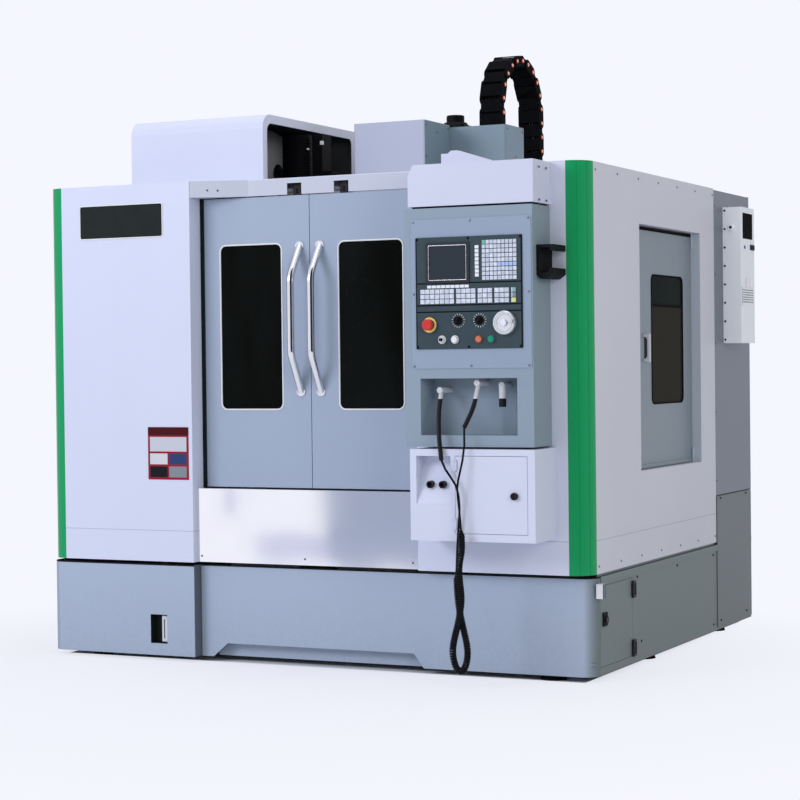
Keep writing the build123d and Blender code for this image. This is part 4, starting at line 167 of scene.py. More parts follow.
class Finish:
    """A material under construction: its nodes, and masks in the machine's own millimetres."""

    def __init__(self, name):
        self.material = bpy.data.materials.new(name)
        self.material.use_nodes = True
        self.tree = self.material.node_tree
        self.shader = self.tree.nodes["Principled BSDF"]
        self.where = self.node("TexCoord", output="Object")
        split = self.node("SeparateXYZ", Vector=self.where)
        self.x = Field(self.tree, split.socket.node.outputs[0]) * 1000 + ORIGIN_X
        self.y = Field(self.tree, split.socket.node.outputs[1]) * 1000 + ORIGIN_Y
        self.z = Field(self.tree, split.socket.node.outputs[2]) * 1000

    def node(self, kind, output=0, **values):
        """A shader node with its inputs linked or set, as one of its outputs."""
        made = self.tree.nodes.new("ShaderNode" + kind)
        for key, value in values.items():
            socket = made.inputs[key.replace("_", " ")]
            if isinstance(value, Field):
                self.tree.links.new(value.socket, socket)
            else:
                socket.default_value = value
        return Field(self.tree, made.outputs[output])

    def noise(self, scale, detail=2.0, stretch=None):
        """Noise of the given scale per metre, from 0 to 1, stretched along an axis if wanted."""
        where = self.where
        if stretch:
            where = self.node("Mapping", Vector=where, Scale=stretch)
        return self.node("TexNoise", Vector=where, Scale=scale, Detail=detail)

    def mix(self, mask, first, second):
        """The first colour where the mask is 0, the second where it is 1."""
        made = self.tree.nodes.new("ShaderNodeMix")
        made.data_type = "RGBA"
        factor, first_colour, second_colour = made.inputs[0], made.inputs[6], made.inputs[7]
        for socket, value in ((factor, mask), (first_colour, first), (second_colour, second)):
            if isinstance(value, Field):
                self.tree.links.new(value.socket, socket)
            else:
                socket.default_value = (*value, 1.0)
        return Field(self.tree, made.outputs[2])

    def detailed(self, parts, tone, amount):
        """Tone and amount with details laid over them, each a (mask maker, colour, amount)."""
        for maker, part_colour, part_amount in parts:
            mask = maker(self)
            tone = self.mix(mask, tone, part_colour)
            amount = amount * (1.0 - mask) + mask * part_amount
        return tone, amount

    def box(self, x0, x1, y0, y1, z0, z1):
        """1 inside a box of the machine, 0 outside."""
        inside = (self.x > x0) * (self.x < x1) * (self.y > y0)
        return inside * (self.y < y1) * (self.z > z0) * (self.z < z1)

    def per_cell(self, pitch_x, pitch_z):
        """A number from 0 to 1 for each cell of a grid on the front, the same over the cell."""
        column = (self.x / pitch_x).whole()
        row = (self.z / pitch_z).whole()
        cell = self.node("CombineXYZ", X=column, Y=row)
        return self.node("TexWhiteNoise", Vector=cell)

    def ticks(self, x, z, inner, outer, count, share):
        """1 on short strokes that stand round an axis along y, as on a dial."""
        turn = (self.x - x).angle_to(self.z - z) * (count / (2 * math.pi))
        above_zero = turn + 64.5  # more than half of the largest count, and half a stroke on
        return self.ring(x, z, inner, outer) * (above_zero.fraction() < share)

    def ring(self, x, z, inner, outer):
        """1 between two radii about an axis that runs along y."""
        from_x = self.x - x
        from_z = self.z - z
        away = from_x * from_x + from_z * from_z
        return (away > inner * inner) * (away < outer * outer)

    def set(self, socket, value):
        target = self.shader.inputs[socket]
        if isinstance(value, Field):
            self.tree.links.new(value.socket, target)
        elif socket == "Base Color":
            target.default_value = (*value, 1.0)
        else:
            target.default_value = value

    def bump(self, height, distance):
        """Relief whose height is in millimetres."""
        normal = self.node("Bump", Distance=distance / 1000, Height=height)
        self.tree.links.new(normal.socket, self.shader.inputs["Normal"])


def dress(name, material):
    """Give a CAD node's object one material."""
    slots = objects[name].data.materials
    slots.clear()
    slots.append(material)


ORANGE_PEEL = 0.08


def sheet_coat(name, colour, roughness=0.36, dirt=0.08, parts=(), index=1.25):
    """Sheet steel with a powder coat: orange peel, faint cloudiness, dust low down."""
    coat = Finish(name)
    cloud = coat.noise(1.7, 3.0)
    streak = coat.noise(6.0, 3.0, stretch=(1, 1, 0.12))
    speck = coat.noise(60.0, 2.0)
    low = (1.0 - coat.z / 420.0).clipped()
    dust = low * (speck * 1.6).clipped() * dirt + (streak - 0.5).clipped() * 0.12
    shade = tuple(c * 0.88 for c in colour)
    grime = tuple(c * f for c, f in zip(colour, (0.64, 0.62, 0.58)))
    tone = coat.mix((cloud * 0.6).clipped(), colour, shade)
    tone = coat.mix(dust.clipped(), tone, grime)
    rough = roughness + (speck - 0.5) * 0.08 + (cloud - 0.5) * 0.08
    tone, rough = coat.detailed(parts, tone, rough)
    coat.set("Base Color", tone)
    coat.set("Roughness", rough)
    coat.set("IOR", index)
    coat.bump(coat.noise(260.0, 2.0), ORANGE_PEEL)
    return coat.material


def moulding(name, colour, roughness=0.42, grain=0.06, parts=(), index=1.07):
    """Moulded plastic with a fine spark-eroded grain and slight wear."""
    shell = Finish(name)
    wear = shell.noise(25.0, 4.0)
    lighter = tuple(min(1.0, c * 1.25 + 0.01) for c in colour)
    tone = shell.mix((wear - 0.45).clipped() * 0.6, colour, lighter)
    rough = roughness + (wear - 0.5) * 0.14
    tone, rough = shell.detailed(parts, tone, rough)
    shell.set("Base Color", tone)
    shell.set("Roughness", rough)
    shell.set("IOR", index)
    shell.bump(shell.noise(900.0, 1.0), grain)
    return shell.material


def bare_metal(
        name, colour, roughness, lay=(1, 1, 1), lines=0.02, scale=240.0,
        smear=0.06, ripple=0.0, marks=1.0):
    """Bare metal with the fine lines of its last machining along one axis, or polished and wavy."""
    bare = Finish(name)
    stroke = bare.noise(scale, 3.0, stretch=lay)
    film = bare.noise(5.0, 4.0)
    darker = tuple(c * 0.80 for c in colour)
    worn = (stroke * 0.5 * marks + (film - 0.5) * 0.5).clipped()
    bare.set("Base Color", bare.mix(worn, colour, darker))
    bare.set("Metallic", 1.0)
    bare.set("Roughness", roughness + (stroke - 0.5) * 0.10 * marks + (film - 0.5) * smear)
    if ripple:
        bare.bump(bare.noise(1.6, 2.0) * 40.0, ripple)
    else:
        bare.bump(stroke, lines)
    return bare.material


def painted_iron(name, colour):
    """Iron casting under thick filler paint: soft lumps and a fine stipple."""
    iron = Finish(name)
    stain = iron.noise(4.0, 5.0)
    dark = tuple(c * 0.72 for c in colour)
    iron.set("Base Color", iron.mix((stain * 0.7).clipped(), colour, dark))
    iron.set("Roughness", 0.48 + (stain - 0.5) * 0.2)
    iron.bump(iron.noise(35.0, 3.0) * 0.7 + iron.noise(300.0, 2.0) * 0.3, 0.5)
    return iron.material


def pane(name, colour, alpha, parts=(), index=1.14):
    """Laminated window with dried coolant spots and a faint wiped film."""
    glass = Finish(name)
    spots = glass.noise(45.0, 4.0)
    film = glass.noise(3.0, 3.0, stretch=(1, 1, 0.3))
    mist = ((spots - 0.64).clipped() * 2.0).clipped() * 0.08 + (film - 0.4).clipped() * 0.10
    tone = glass.mix(mist.clipped(), colour, (0.16, 0.17, 0.18))
    cover = (alpha + mist * 0.2).clipped()
    tone, cover = glass.detailed(parts, tone, cover)
    glass.set("Base Color", tone)
    glass.set("Roughness", 0.035 + mist * 0.3)
    glass.set("Alpha", cover)
    glass.set("IOR", index)
    return glass.material


# Paints as they look in even light, except those marked lit, which carry painted light, and those
# marked shaded, which carry painted shade
WHITE = (0.670, 0.700, 0.830)
# Shaded: the sides' white, the front white darkened as painted shade
SHADED_SIDE_WHITE = (0.630, 0.640, 0.705)
CABINET_GREY = (0.190, 0.208, 0.255)
CABINET_FOOT = (0.132, 0.153, 0.163)
DOOR_GREY = (0.360, 0.425, 0.530)
# Lit: the base's grey, the doors' grey made lighter as painted light where the base gets less light
LIT_BASE_GREY = (0.410, 0.480, 0.595)
# Shaded: the base's flanks, darkened as painted shade
SHADED_BASE_SIDE = (0.153, 0.188, 0.187)
CONSOLE_GREY = (0.285, 0.355, 0.425)
# Shaded: the head cover's grey, darkened as painted shade
SHADED_HOOD_GREY = (0.213, 0.288, 0.345)
# Lit: the head cover's left part, lightened as painted light
LIT_HOOD_LEFT = (0.435, 0.460, 0.565)
GREEN = (0.008, 0.330, 0.110)
BLACK = (0.012, 0.012, 0.014)
# Near black, for black parts and for painted shadow
NEAR_BLACK_AND_SHADOW = (0.006, 0.006, 0.007)
PALE_PLASTIC = (0.70, 0.71, 0.74)

# Places that more than one detail uses
SEAM_Z = 505.0
SEAM_HALF = 1.2
CABINET_SEAM_Z = 578.0
CHAIN_RIGHT = 360.2
MAGAZINE_ROUND_Y = 530
MAGAZINE_ROUND_Z = 2095
MAGAZINE_ROUND_R = 58.9
STOP_AT = (615, 1277)
HANDWHEEL_AT = (905, 1280)
KNOB_PLACES = [(726, 1290), (808, 1290)]
SWITCHES_Z = 1224
KEY_SWITCH_X = 663
KEY_PITCH = (14.4, 15.4)


# Details that a surface carries: where, colour, and roughness or a pane's alpha
def magazine_inside(m):
    """The inner faces of the magazine's cover, which are painted dark grey."""
    from_y = m.y - MAGAZINE_ROUND_Y
    from_z = m.z - MAGAZINE_ROUND_Z
    past_corner = (m.y < MAGAZINE_ROUND_Y) * (m.z > MAGAZINE_ROUND_Z)
    past_corner = past_corner * (from_y * from_y + from_z * from_z > MAGAZINE_ROUND_R ** 2)
    return m.box(-1037, -418, 471.5, 1288, 1800, 2153.5) * (1.0 - past_corner)


MAGAZINE_INSIDE = [(magazine_inside, (0.085, 0.090, 0.090), 0.35)]
FOLD_SEAM = [
    (lambda m: (m.z > SEAM_Z - SEAM_HALF) * (m.z < SEAM_Z + SEAM_HALF), (0.40, 0.42, 0.48), 0.5),
]
GAUGE = [
    (lambda m: m.box(-678, -600, 1.5, 50, 65, 179), (0.010, 0.016, 0.014), 0.5),
    (lambda m: m.box(-634, -606, 12, 36, 70, 173), PALE_PLASTIC, 0.35),
    (lambda m: m.box(-626, -620, 12, 36, 84, 160), (0.10, 0.12, 0.12), 0.3),
]
# Painted shade on the return at the rear edge of the side door's opening
DOOR_REVEAL_SHADE = [(lambda m: m.box(1050, 1142.6, 1280, 1300, 700, 1700), (0.48, 0.53, 0.60), 0.4)]
BOX_LOCK = [(lambda m: m.ring(944, 676, 0, 13.4) * (m.y < -194.2), BLACK, 0.35)]
BASE_LOCK = [(lambda m: (m.x > 1143.2) * (m.y > 130) * (m.y < 170) * (m.z < 240), BLACK, 0.35)]
BASE_HINGES = [(lambda m: (m.x > 1143.3) * (m.y > 425) * (m.y < 475) * (m.z < 335), BLACK, 0.4)]
# Painted shade: the base turns darker over its rounded corners and flanks, from 1100 mm out from
# the middle
BASE_FLANK_SHADE = [(lambda m: (((m.x * m.x) ** 0.5 - 1100) / 42).clipped(), SHADED_BASE_SIDE, 0.4)]
BASE_SHADE = [
    (lambda m: (m.z > 369) * (m.y < 110), NEAR_BLACK_AND_SHADOW, 0.6),
    (lambda m: m.box(-482, -474, 3, 50.5, 0, 400), (0.11, 0.135, 0.16), 0.45),
]
# The cabinet is a darker grey below its seam, and the black line at the seam is a joint with
# painted shadow under the upper panel's edge
CABINET_LOW = [
    (lambda m: (m.z < CABINET_SEAM_Z), CABINET_FOOT, 0.4),
    (lambda m: (m.z > CABINET_SEAM_Z - 2) * (m.z < CABINET_SEAM_Z + 2) * (m.y > 1500), NEAR_BLACK_AND_SHADOW, 0.5),
]
SOCKET_COLLARS = [
    (lambda m: m.ring(612, 712, 0, 13.3).either(m.ring(660, 712, 0, 13.3)) * (m.y < -150),
     BLACK, 0.4),
]
HANGERS = [(lambda m: (m.z > 1783.2) * (m.y > 90), NEAR_BLACK_AND_SHADOW, 0.45)]
COOLER_PARTS = [
    (lambda m: (m.x < 1224.4) * (m.x > 1215) * m.box(0, 2000, 1622, 1770, 1646, 1758), NEAR_BLACK_AND_SHADOW, 0.12),
    (lambda m: (m.x < 1224.4) * (m.x > 1215) * m.box(0, 2000, 1616, 1795, 1370, 1446), NEAR_BLACK_AND_SHADOW, 0.6),
    (lambda m: (m.y < 1613.6) * m.ring(1179, 1695, 0, 6.5), NEAR_BLACK_AND_SHADOW, 0.4),
]

white_coat = sheet_coat("white_powder_coat", WHITE)
block_coat = sheet_coat("front_block_coat", WHITE, parts=FOLD_SEAM)
lintel_coat = sheet_coat("lintel_coat", (0.555, 0.580, 0.660))
# The console cap is painted near black below z 1696.9, a painted shadow in the gap under the cap
cap_coat = sheet_coat("cap_coat", (0.640, 0.665, 0.790), parts=[
    (lambda m: m.z < 1696.9, NEAR_BLACK_AND_SHADOW, 0.6)])
magazine_coat = sheet_coat("magazine_coat", WHITE, parts=MAGAZINE_INSIDE)
# The side panels wear the darker white as painted shade
shaded_side_coat = sheet_coat("side_powder_coat_painted_shade", SHADED_SIDE_WHITE, parts=FOLD_SEAM + DOOR_REVEAL_SHADE)
side_door_coat = sheet_coat("side_door_coat", (0.236, 0.281, 0.325), parts=[
    (lambda m: m.box(1107, 1140, 700, 716, 1130, 1250), (0.60, 0.62, 0.66), 0.3)])
box_coat = sheet_coat("box_powder_coat", WHITE, parts=SOCKET_COLLARS + BOX_LOCK)
# Lit: the cooler is painted whiter than the other white panels, as painted light against the shade
# the machine casts on it
lit_cooler_coat = sheet_coat("lit_cooler_coat", (0.91, 0.95, 1.0), parts=COOLER_PARTS)
door_coat = sheet_coat("door_powder_coat", DOOR_GREY, parts=HANGERS)
cabinet_coat = sheet_coat("cabinet_powder_coat", CABINET_GREY, parts=CABINET_LOW)
inner_coat = sheet_coat("inner_powder_coat", (0.42, 0.46, 0.52))
# The console's right side, past x 1006.5, is painted darker as painted shade
console_coat = sheet_coat("console_powder_coat", CONSOLE_GREY, parts=[
    (lambda m: (m.x > 1006.5), (0.235, 0.300, 0.335), 0.36)])
faceplate_coat = sheet_coat("faceplate_coat", (0.305, 0.375, 0.48))
base_coat = sheet_coat(
    "base_powder_coat", LIT_BASE_GREY, dirt=0.30,
    parts=BASE_FLANK_SHADE + BASE_SHADE + GAUGE + BASE_LOCK + BASE_HINGES)
# The head cover is lighter left of x 159 as painted light and darker elsewhere as painted shade
hood_lit_and_shaded_coat = sheet_coat("hood_powder_coat_painted_light_and_shade", SHADED_HOOD_GREY, parts=[
    (lambda m: m.x < 159, LIT_HOOD_LEFT, 0.36)])
green_coat = sheet_coat("green_powder_coat", GREEN, roughness=0.30)
black_coat = sheet_coat("black_powder_coat", NEAR_BLACK_AND_SHADOW, roughness=0.5, index=1.15)
cast_paint = painted_iron("casting_paint", (0.42, 0.44, 0.46))
black_plastic = moulding("black_plastic", BLACK)
rubber = moulding("rubber", NEAR_BLACK_AND_SHADOW, roughness=0.65, grain=0.2)
white_plastic = moulding(
    "white_plastic", (0.78, 0.78, 0.77), roughness=0.35, grain=0.02, index=1.42)
red_plastic = moulding(
    "red_plastic", (0.58, 0.025, 0.015), roughness=0.3, grain=0.01, index=1.42)
orange_plastic = moulding("orange_plastic", (0.66, 0.17, 0.08), roughness=0.25, grain=0.01)
green_plastic = moulding("green_plastic", (0.02, 0.28, 0.18), roughness=0.25, grain=0.01)
ground_iron = bare_metal("ground_iron", (0.45, 0.45, 0.46), 0.34, lay=(0.05, 1, 1))
ground_steel = bare_metal("ground_steel", (0.62, 0.63, 0.65), 0.26, lay=(1, 1, 0.05))
mirror_steel = bare_metal(
    "mirror_stainless", (0.95, 0.95, 0.97), 0.09, lay=(0.02, 1, 1),
    smear=0.05, ripple=0.10, marks=0.06)
cover_steel = bare_metal("cover_stainless", (0.72, 0.73, 0.75), 0.24, lay=(1, 0.03, 1), lines=0.01)
tube_chrome = bare_metal("chromed_tube", (0.82, 0.83, 0.85), 0.10, lay=(1, 1, 0.2), lines=0.002)
fitting_nickel = bare_metal("nickel_fittings", (0.60, 0.61, 0.62), 0.28)
gun_finish = sheet_coat(
    "air_gun_finish", (0.62, 0.63, 0.65), parts=[(lambda m: m.z < 1015, BLACK, 0.4)])
aluminium = bare_metal("turned_aluminium", (0.66, 0.67, 0.69), 0.34)
disc_aluminium = bare_metal(
    "disc_aluminium", (0.30, 0.31, 0.30), 0.38, lay=(1, 1, 0.1), lines=0.2, scale=90.0)
key_metal = moulding("key_switch_metal", (0.66, 0.67, 0.70), roughness=0.3, index=1.42, parts=[
    (lambda m: m.ring(KEY_SWITCH_X, SWITCHES_Z, 0, 5.5), NEAR_BLACK_AND_SHADOW, 0.4)])
screw_steel = bare_metal("screw_steel", (0.20, 0.205, 0.22), 0.40)
tinted_glass = pane("tinted_laminated_glass", (0.003, 0.004, 0.003), 0.975, index=1.06)
# The side window's glass is painted warmer and lighter below its bar, as a painted reflection
side_glass = pane(
    "side_laminated_glass", (0.008, 0.013, 0.012), 0.985, index=1.03,
    parts=[(lambda m: (m.z > 1352) * (m.z < 1361), (0.005, 0.006, 0.006), 1.0),
           (lambda m: (m.z < 1352), (0.030, 0.027, 0.021), 0.985)])
chain_nylon = moulding(
    "chain_nylon", (0.005, 0.005, 0.006), roughness=0.55, index=1.05,
    parts=[(lambda m: m.x > CHAIN_RIGHT, (0.95, 0.50, 0.36), 0.4)])
display = moulding(
    "display_panel", (0.016, 0.018, 0.020), roughness=0.35, grain=0.02, index=1.3,
    parts=[(lambda m: m.box(616, 759, -300, -174, 1435, 1555), (0.020, 0.030, 0.040), 0.12)])

# Control fascia: lines between its plates, dial strokes, and rings under the stop and the switches
FASCIA_FACE_Y = -171.2
PRINTED_Y = -168
PLATE_LINES_Z = [1345.0, 1322.0, 1423.0]
PLATE_LINE_HALF = 2.4


def plate_lines(m):
    lines = (m.x < 566.5).either(m.x > 965.5)
    for z in PLATE_LINES_Z:
        lines = lines.either((m.z > z - PLATE_LINE_HALF) * (m.z < z + PLATE_LINE_HALF))
    return lines


def dial_strokes(m):
    strokes = m.ticks(*KNOB_PLACES[0], 19.5, 25.5, 16, 0.22)
    return strokes.either(m.ticks(*KNOB_PLACES[1], 19.5, 25.5, 16, 0.22))


def collars(m, *places_x):
    """Rings of two switches, which stand proud of the fascia."""
    first, second = [m.ring(x, SWITCHES_Z, 0, 16) for x in places_x]
    return (m.y < FASCIA_FACE_Y - 1.0) * (m.z < 1245) * first.either(second)


fascia_film = moulding("fascia_film", (0.053, 0.076, 0.087), roughness=0.36, grain=0.03, parts=[
    (plate_lines, (0.008, 0.010, 0.011), 0.5),
    (lambda m: dial_strokes(m) * (m.y < PRINTED_Y), (0.62, 0.66, 0.68), 0.4),
    (lambda m: m.ring(*STOP_AT, 19.5, 27.0) * (m.y < PRINTED_Y), (0.85, 0.62, 0.16), 0.35),
    (lambda m: collars(m, KEY_SWITCH_X, 713), (0.60, 0.63, 0.66), 0.3),
    (lambda m: collars(m, 806, 853), (0.10, 0.11, 0.12), 0.3),
])


def key_caps():
    """Printed keys: each its own shade, a small printed mark, and a few in colour."""
    caps = Finish("printed_keys")
    wear = caps.noise(30.0, 3.0)
    own = caps.per_cell(*KEY_PITCH)
    tone = caps.mix(own, (0.52, 0.57, 0.66), (0.72, 0.76, 0.84))
    print_mark = (caps.noise(520.0, 1.0) > 0.60) * (caps.noise(90.0, 1.0) > 0.47)
    tone = caps.mix(print_mark * 0.55, tone, (0.08, 0.10, 0.14))
    for place, colour in (
        (caps.box(820, 834, -300, 0, 1555, 1571), (0.10, 0.42, 0.24)),
        (caps.box(878, 950, -300, 0, 1477, 1493), (0.36, 0.50, 0.80)),
        (caps.box(934, 952, -300, 0, 1385, 1403), (0.16, 0.36, 0.33)),
        (caps.box(934, 952, -300, 0, 1368, 1385), (0.15, 0.18, 0.22)),
        (caps.box(934, 952, -300, 0, 1350, 1368), (0.66, 0.72, 0.10)),
        (caps.box(600, 812, -300, 0, 1404, 1560), (0.80, 0.82, 0.86)),
    ):
        tone = caps.mix(place * 0.9, tone, colour)
    caps.set("Base Color", tone)
    caps.set("Roughness", 0.36 + (wear - 0.5) * 0.12)
    caps.bump(caps.noise(700.0, 1.0), 0.02)
    return caps.material


def dial_metal():
    """The handwheel: a bright knurled rim, a white graduated dial and a satin hub."""
    wheel = Finish("handwheel_dial")
    bright = wheel.ring(*HANDWHEEL_AT, 37, 60).either(wheel.ring(*HANDWHEEL_AT, 0, 12))
    strokes = wheel.ticks(*HANDWHEEL_AT, 30, 36, 50, 0.30)
    tone = wheel.mix(bright, (0.70, 0.72, 0.74), (0.62, 0.64, 0.66))
    tone = wheel.mix(strokes, tone, (0.06, 0.06, 0.07))
    knurl = wheel.ticks(*HANDWHEEL_AT, 38, 60, 90, 0.5)
    wheel.set("Base Color", tone)
    wheel.set("Metallic", bright * 0.85)
    wheel.set("Roughness", 0.30 + wheel.noise(40.0, 3.0) * 0.14)
    wheel.bump(knurl, 0.4)
    return wheel.material


for name, material in {
    "front_panels": block_coat, "roof_panel": white_coat, "door_lintel": lintel_coat,
    "console_cap": cap_coat, "magazine_cover": magazine_coat, "side_panels": shaded_side_coat,
    "side_door": side_door_coat, "cabinet_cooler": lit_cooler_coat, "storage_box": box_coat,
    "storage_door": box_coat, "base_cover": base_coat, "base_door": base_coat,
    "left_door": door_coat, "right_door": door_coat, "console_housing": console_coat,
    "console_faceplate": faceplate_coat, "electrical_cabinet": cabinet_coat,
    "cabinet_door_left": cabinet_coat, "cabinet_door_right": cabinet_coat,
    "inner_guard": inner_coat, "corner_strips": green_coat, "head_cover": hood_lit_and_shaded_coat,
    "front_apron": mirror_steel, "table_wings": cover_steel, "y_cover_middle": cover_steel,
    "bed_casting": cast_paint, "column": cast_paint, "saddle": cast_paint,
    "spindle_head": cast_paint, "magazine_frame": cast_paint, "table": ground_iron,
    "tool_arm": ground_steel, "spindle": ground_steel, "z_ball_screw": ground_steel,
    "magazine_disc": disc_aluminium, "spindle_motor": black_coat, "drive_motors": black_coat,
    "pendant_holder": black_plastic, "cable_chain": chain_nylon, "left_door_handle": tube_chrome,
    "right_door_handle": tube_chrome, "niche_fittings": gun_finish, "levelling_feet": rubber,
    "left_door_window": tinted_glass, "right_door_window": tinted_glass,
    "side_door_window": side_glass, "screen": display, "control_fascia": fascia_film,
    "panel_keys": key_caps(), "emergency_stop": red_plastic, "spindle_knob": black_plastic,
    "feed_knob": black_plastic, "handwheel": dial_metal(), "key_switch": key_metal,
    "white_button": white_plastic, "orange_button": orange_plastic, "green_button": green_plastic,
}.items():
    dress(name, material)


# The curly air hose: its two straight ends and its curly middle are one cord
LEFT_ROUTE = [
    (672, -210, 800), (688, -217, 765), (735, -218, 715), (742, -211, 640), (736, -208, 580),
    (727, -204, 500), (722, -202, 405),
]
RIGHT_ROUTE = [
    (758, -203, 915), (768, -218, 845), (750, -228, 755), (738, -230, 705), (747, -228, 630),
    (752, -228, 562),
]
CURLY_ROUTE = [
    (752, -228, 562), (760, -231, 499), (742, -228, 430), (744, -226, 380), (752, -224, 315),
    (738, -226, 232), (711, -218, 150), (710, -214, 104), (725, -212, 60), (751, -212, 60),
    (765, -210, 104), (763, -206, 150), (738, -198, 232), (723, -201, 315), (722, -202, 405),
]
HOSE_DIAMETER = 0.008
CURL_RADIUS = 0.0092
CURL_PITCH = 0.0088
CURL_STEPS = 12
CURL_RAMP_TURNS = 3
SMOOTHED_SHARE = 0.978  # the smooth line's length as a share of its control points' polygon


def spline_curve(name, points, bevel=0.0, resolution=12):
    """An open NURBS curve through a route's control points, in metres."""
    data = bpy.data.curves.new(name, "CURVE")
    data.dimensions = "3D"
    line = data.splines.new("NURBS")
    line.points.add(len(points) - 1)
    for point, place in zip(line.points, points):
        point.co = (*place, 1.0)
    line.order_u = 3
    line.use_endpoint_u = True
    line.resolution_u = resolution
    data.bevel_depth = bevel
    data.bevel_resolution = 2
    data.use_fill_caps = bevel > 0
    return placed(name, data)


def line_points(route):
    """Points along the smooth line of a route, read from its spline."""
    guide = spline_curve("hose_guide", route, resolution=16)
    mesh = bpy.data.meshes.new_from_object(guide)
    points = [v.co.copy() for v in mesh.vertices]
    bpy.data.meshes.remove(mesh)
    objects.remove(guide)
    return points


def evenly(points, step):
    """The same line as points that lie one step apart."""
    out = [points[0]]
    carry = 0.0
    for a, b in zip(points, points[1:]):
        run = (b - a).length
        along = step - carry
        while along <= run:
            out.append(a.lerp(b, along / run))
            along += step
        carry = (carry + run) % step
    return out


def curled(line, radius, pitch, steps):
    """A helix about a line, which grows from the line at both ends."""
    points = evenly(line, pitch / steps)
    ahead_of = [(b - a).normalized() for a, b in zip(points, points[1:])]
    ahead_of.append(ahead_of[-1])
    across = Vector((1, 0, 0))
    helix = []
    ramp = steps * CURL_RAMP_TURNS
    for i, (point, heading) in enumerate(zip(points, ahead_of)):
        across = (across - heading * across.dot(heading)).normalized()
        other = heading.cross(across)
        grow = min(1.0, i / ramp, (len(points) - 1 - i) / ramp)
        grow = grow * grow * (3 - 2 * grow)
        angle = 2 * math.pi * i / steps
        helix.append(point + (across * math.cos(angle) + other * math.sin(angle)) * radius * grow)
    return helix


routes = (LEFT_ROUTE, CURLY_ROUTE[::-1], RIGHT_ROUTE[::-1])
left_line, curly_line, right_line = [[spot(*p) for p in route] for route in routes]
curl = curled(line_points(curly_line), CURL_RADIUS, CURL_PITCH, CURL_STEPS)
hose_points = left_line[:-1] + curl + right_line[1:]
air_hose = spline_curve("air_hose", hose_points, bevel=HOSE_DIAMETER / 2, resolution=2)
hose_skin = moulding("polyurethane_hose", (0.012, 0.012, 0.014), roughness=0.24, grain=0.01)
air_hose.data.materials.append(hose_skin)
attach(air_hose, "machine")
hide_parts("left_lead", "right_lead", "curly_lead")
hose_length = SMOOTHED_SHARE * sum((b - a).length for a, b in zip(hose_points, hose_points[1:]))


# Cable chain: one end stands on the column and the other goes with the head; here the chain, its
# cables and pin caps are baked in place and attached to no body
CHAIN_LOOP_Y = 1333.5
CHAIN_LOOP_Z = 2203.5
CHAIN_LOOP_R = 211.0
CHAIN_START_Z = 2115.3
CHAIN_END_Z = 1870.0
CHAIN_LINKS = 18
CABLE_RADIUS = 7.2
CABLE_PLACES_X = (282, 296.5, 311, 325.5, 340)
CABLE_POINTS = 50
CHAIN_LENGTH = 2 * CHAIN_LOOP_Z - CHAIN_START_Z - CHAIN_END_Z + math.pi * CHAIN_LOOP_R


def chain_line(along):
    """The chain's middle line at a distance from its moving end, as y and z."""
    rise = CHAIN_LOOP_Z - CHAIN_START_Z
    angle = min(max((along - rise) / CHAIN_LOOP_R, 0.0), math.pi)
    straight = min(along - rise, 0.0) - max(along - rise - math.pi * CHAIN_LOOP_R, 0.0)
    return (CHAIN_LOOP_Y - CHAIN_LOOP_R * math.cos(angle),
            CHAIN_LOOP_Z + CHAIN_LOOP_R * math.sin(angle) + straight)


def follow_head(piece):
    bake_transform(piece)


chain_mesh = objects["cable_chain"].data.copy()
shape = bmesh.new()
shape.from_mesh(chain_mesh)
bmesh.ops.remove_doubles(shape, verts=shape.verts, dist=1e-6)
shape.to_mesh(chain_mesh)
shape.free()
moving_chain = placed("moving_cable_chain", chain_mesh)
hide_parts("cable_chain")
follow_head(moving_chain)

cable_line = [chain_line(CHAIN_LENGTH * (i + 0.1) / CABLE_POINTS) for i in range(CABLE_POINTS)]
cable_curve = bpy.data.curves.new("chain_cables", "CURVE")
cable_curve.dimensions = "3D"
cable_curve.bevel_depth = CABLE_RADIUS / 1000
cable_curve.bevel_resolution = 2
cable_curve.use_fill_caps = True
for x in CABLE_PLACES_X:
    strand = cable_curve.splines.new("POLY")
    strand.points.add(len(cable_line) - 1)
    for point, (y, z) in zip(strand.points, cable_line):
        point.co = (*spot(x, y, z), 1)
cable_source = placed("cable_source", cable_curve)
ready_cable = cable_source.evaluated_get(bpy.context.evaluated_depsgraph_get())
chain_cables = placed("chain_cables", bpy.data.meshes.new_from_object(ready_cable))
objects.remove(cable_source)
chain_cables.data.materials.clear()
chain_cables.data.materials.append(rubber)
follow_head(chain_cables)


def new_piece(name, mesh, body, material=None):
    """A finished mesh as a piece that rides on a body."""
    piece = placed(name, mesh)
    if material:
        mesh.materials.clear()
        mesh.materials.append(material)
    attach(piece, body)
    return piece


# Things that repeat are set out by Geometry Nodes
def node_tree(name, inputs):
    """An empty Geometry Nodes tree with named inputs and a geometry output."""
    tree = bpy.data.node_groups.new(name, "GeometryNodeTree")
    tree.interface.new_socket("Geometry", in_out="INPUT", socket_type="NodeSocketGeometry")
    for title, kind in inputs:
        tree.interface.new_socket(title, in_out="INPUT", socket_type="NodeSocket" + kind)
    tree.interface.new_socket("Geometry", in_out="OUTPUT", socket_type="NodeSocketGeometry")
    return tree, tree.nodes.new("NodeGroupInput"), tree.nodes.new("NodeGroupOutput")


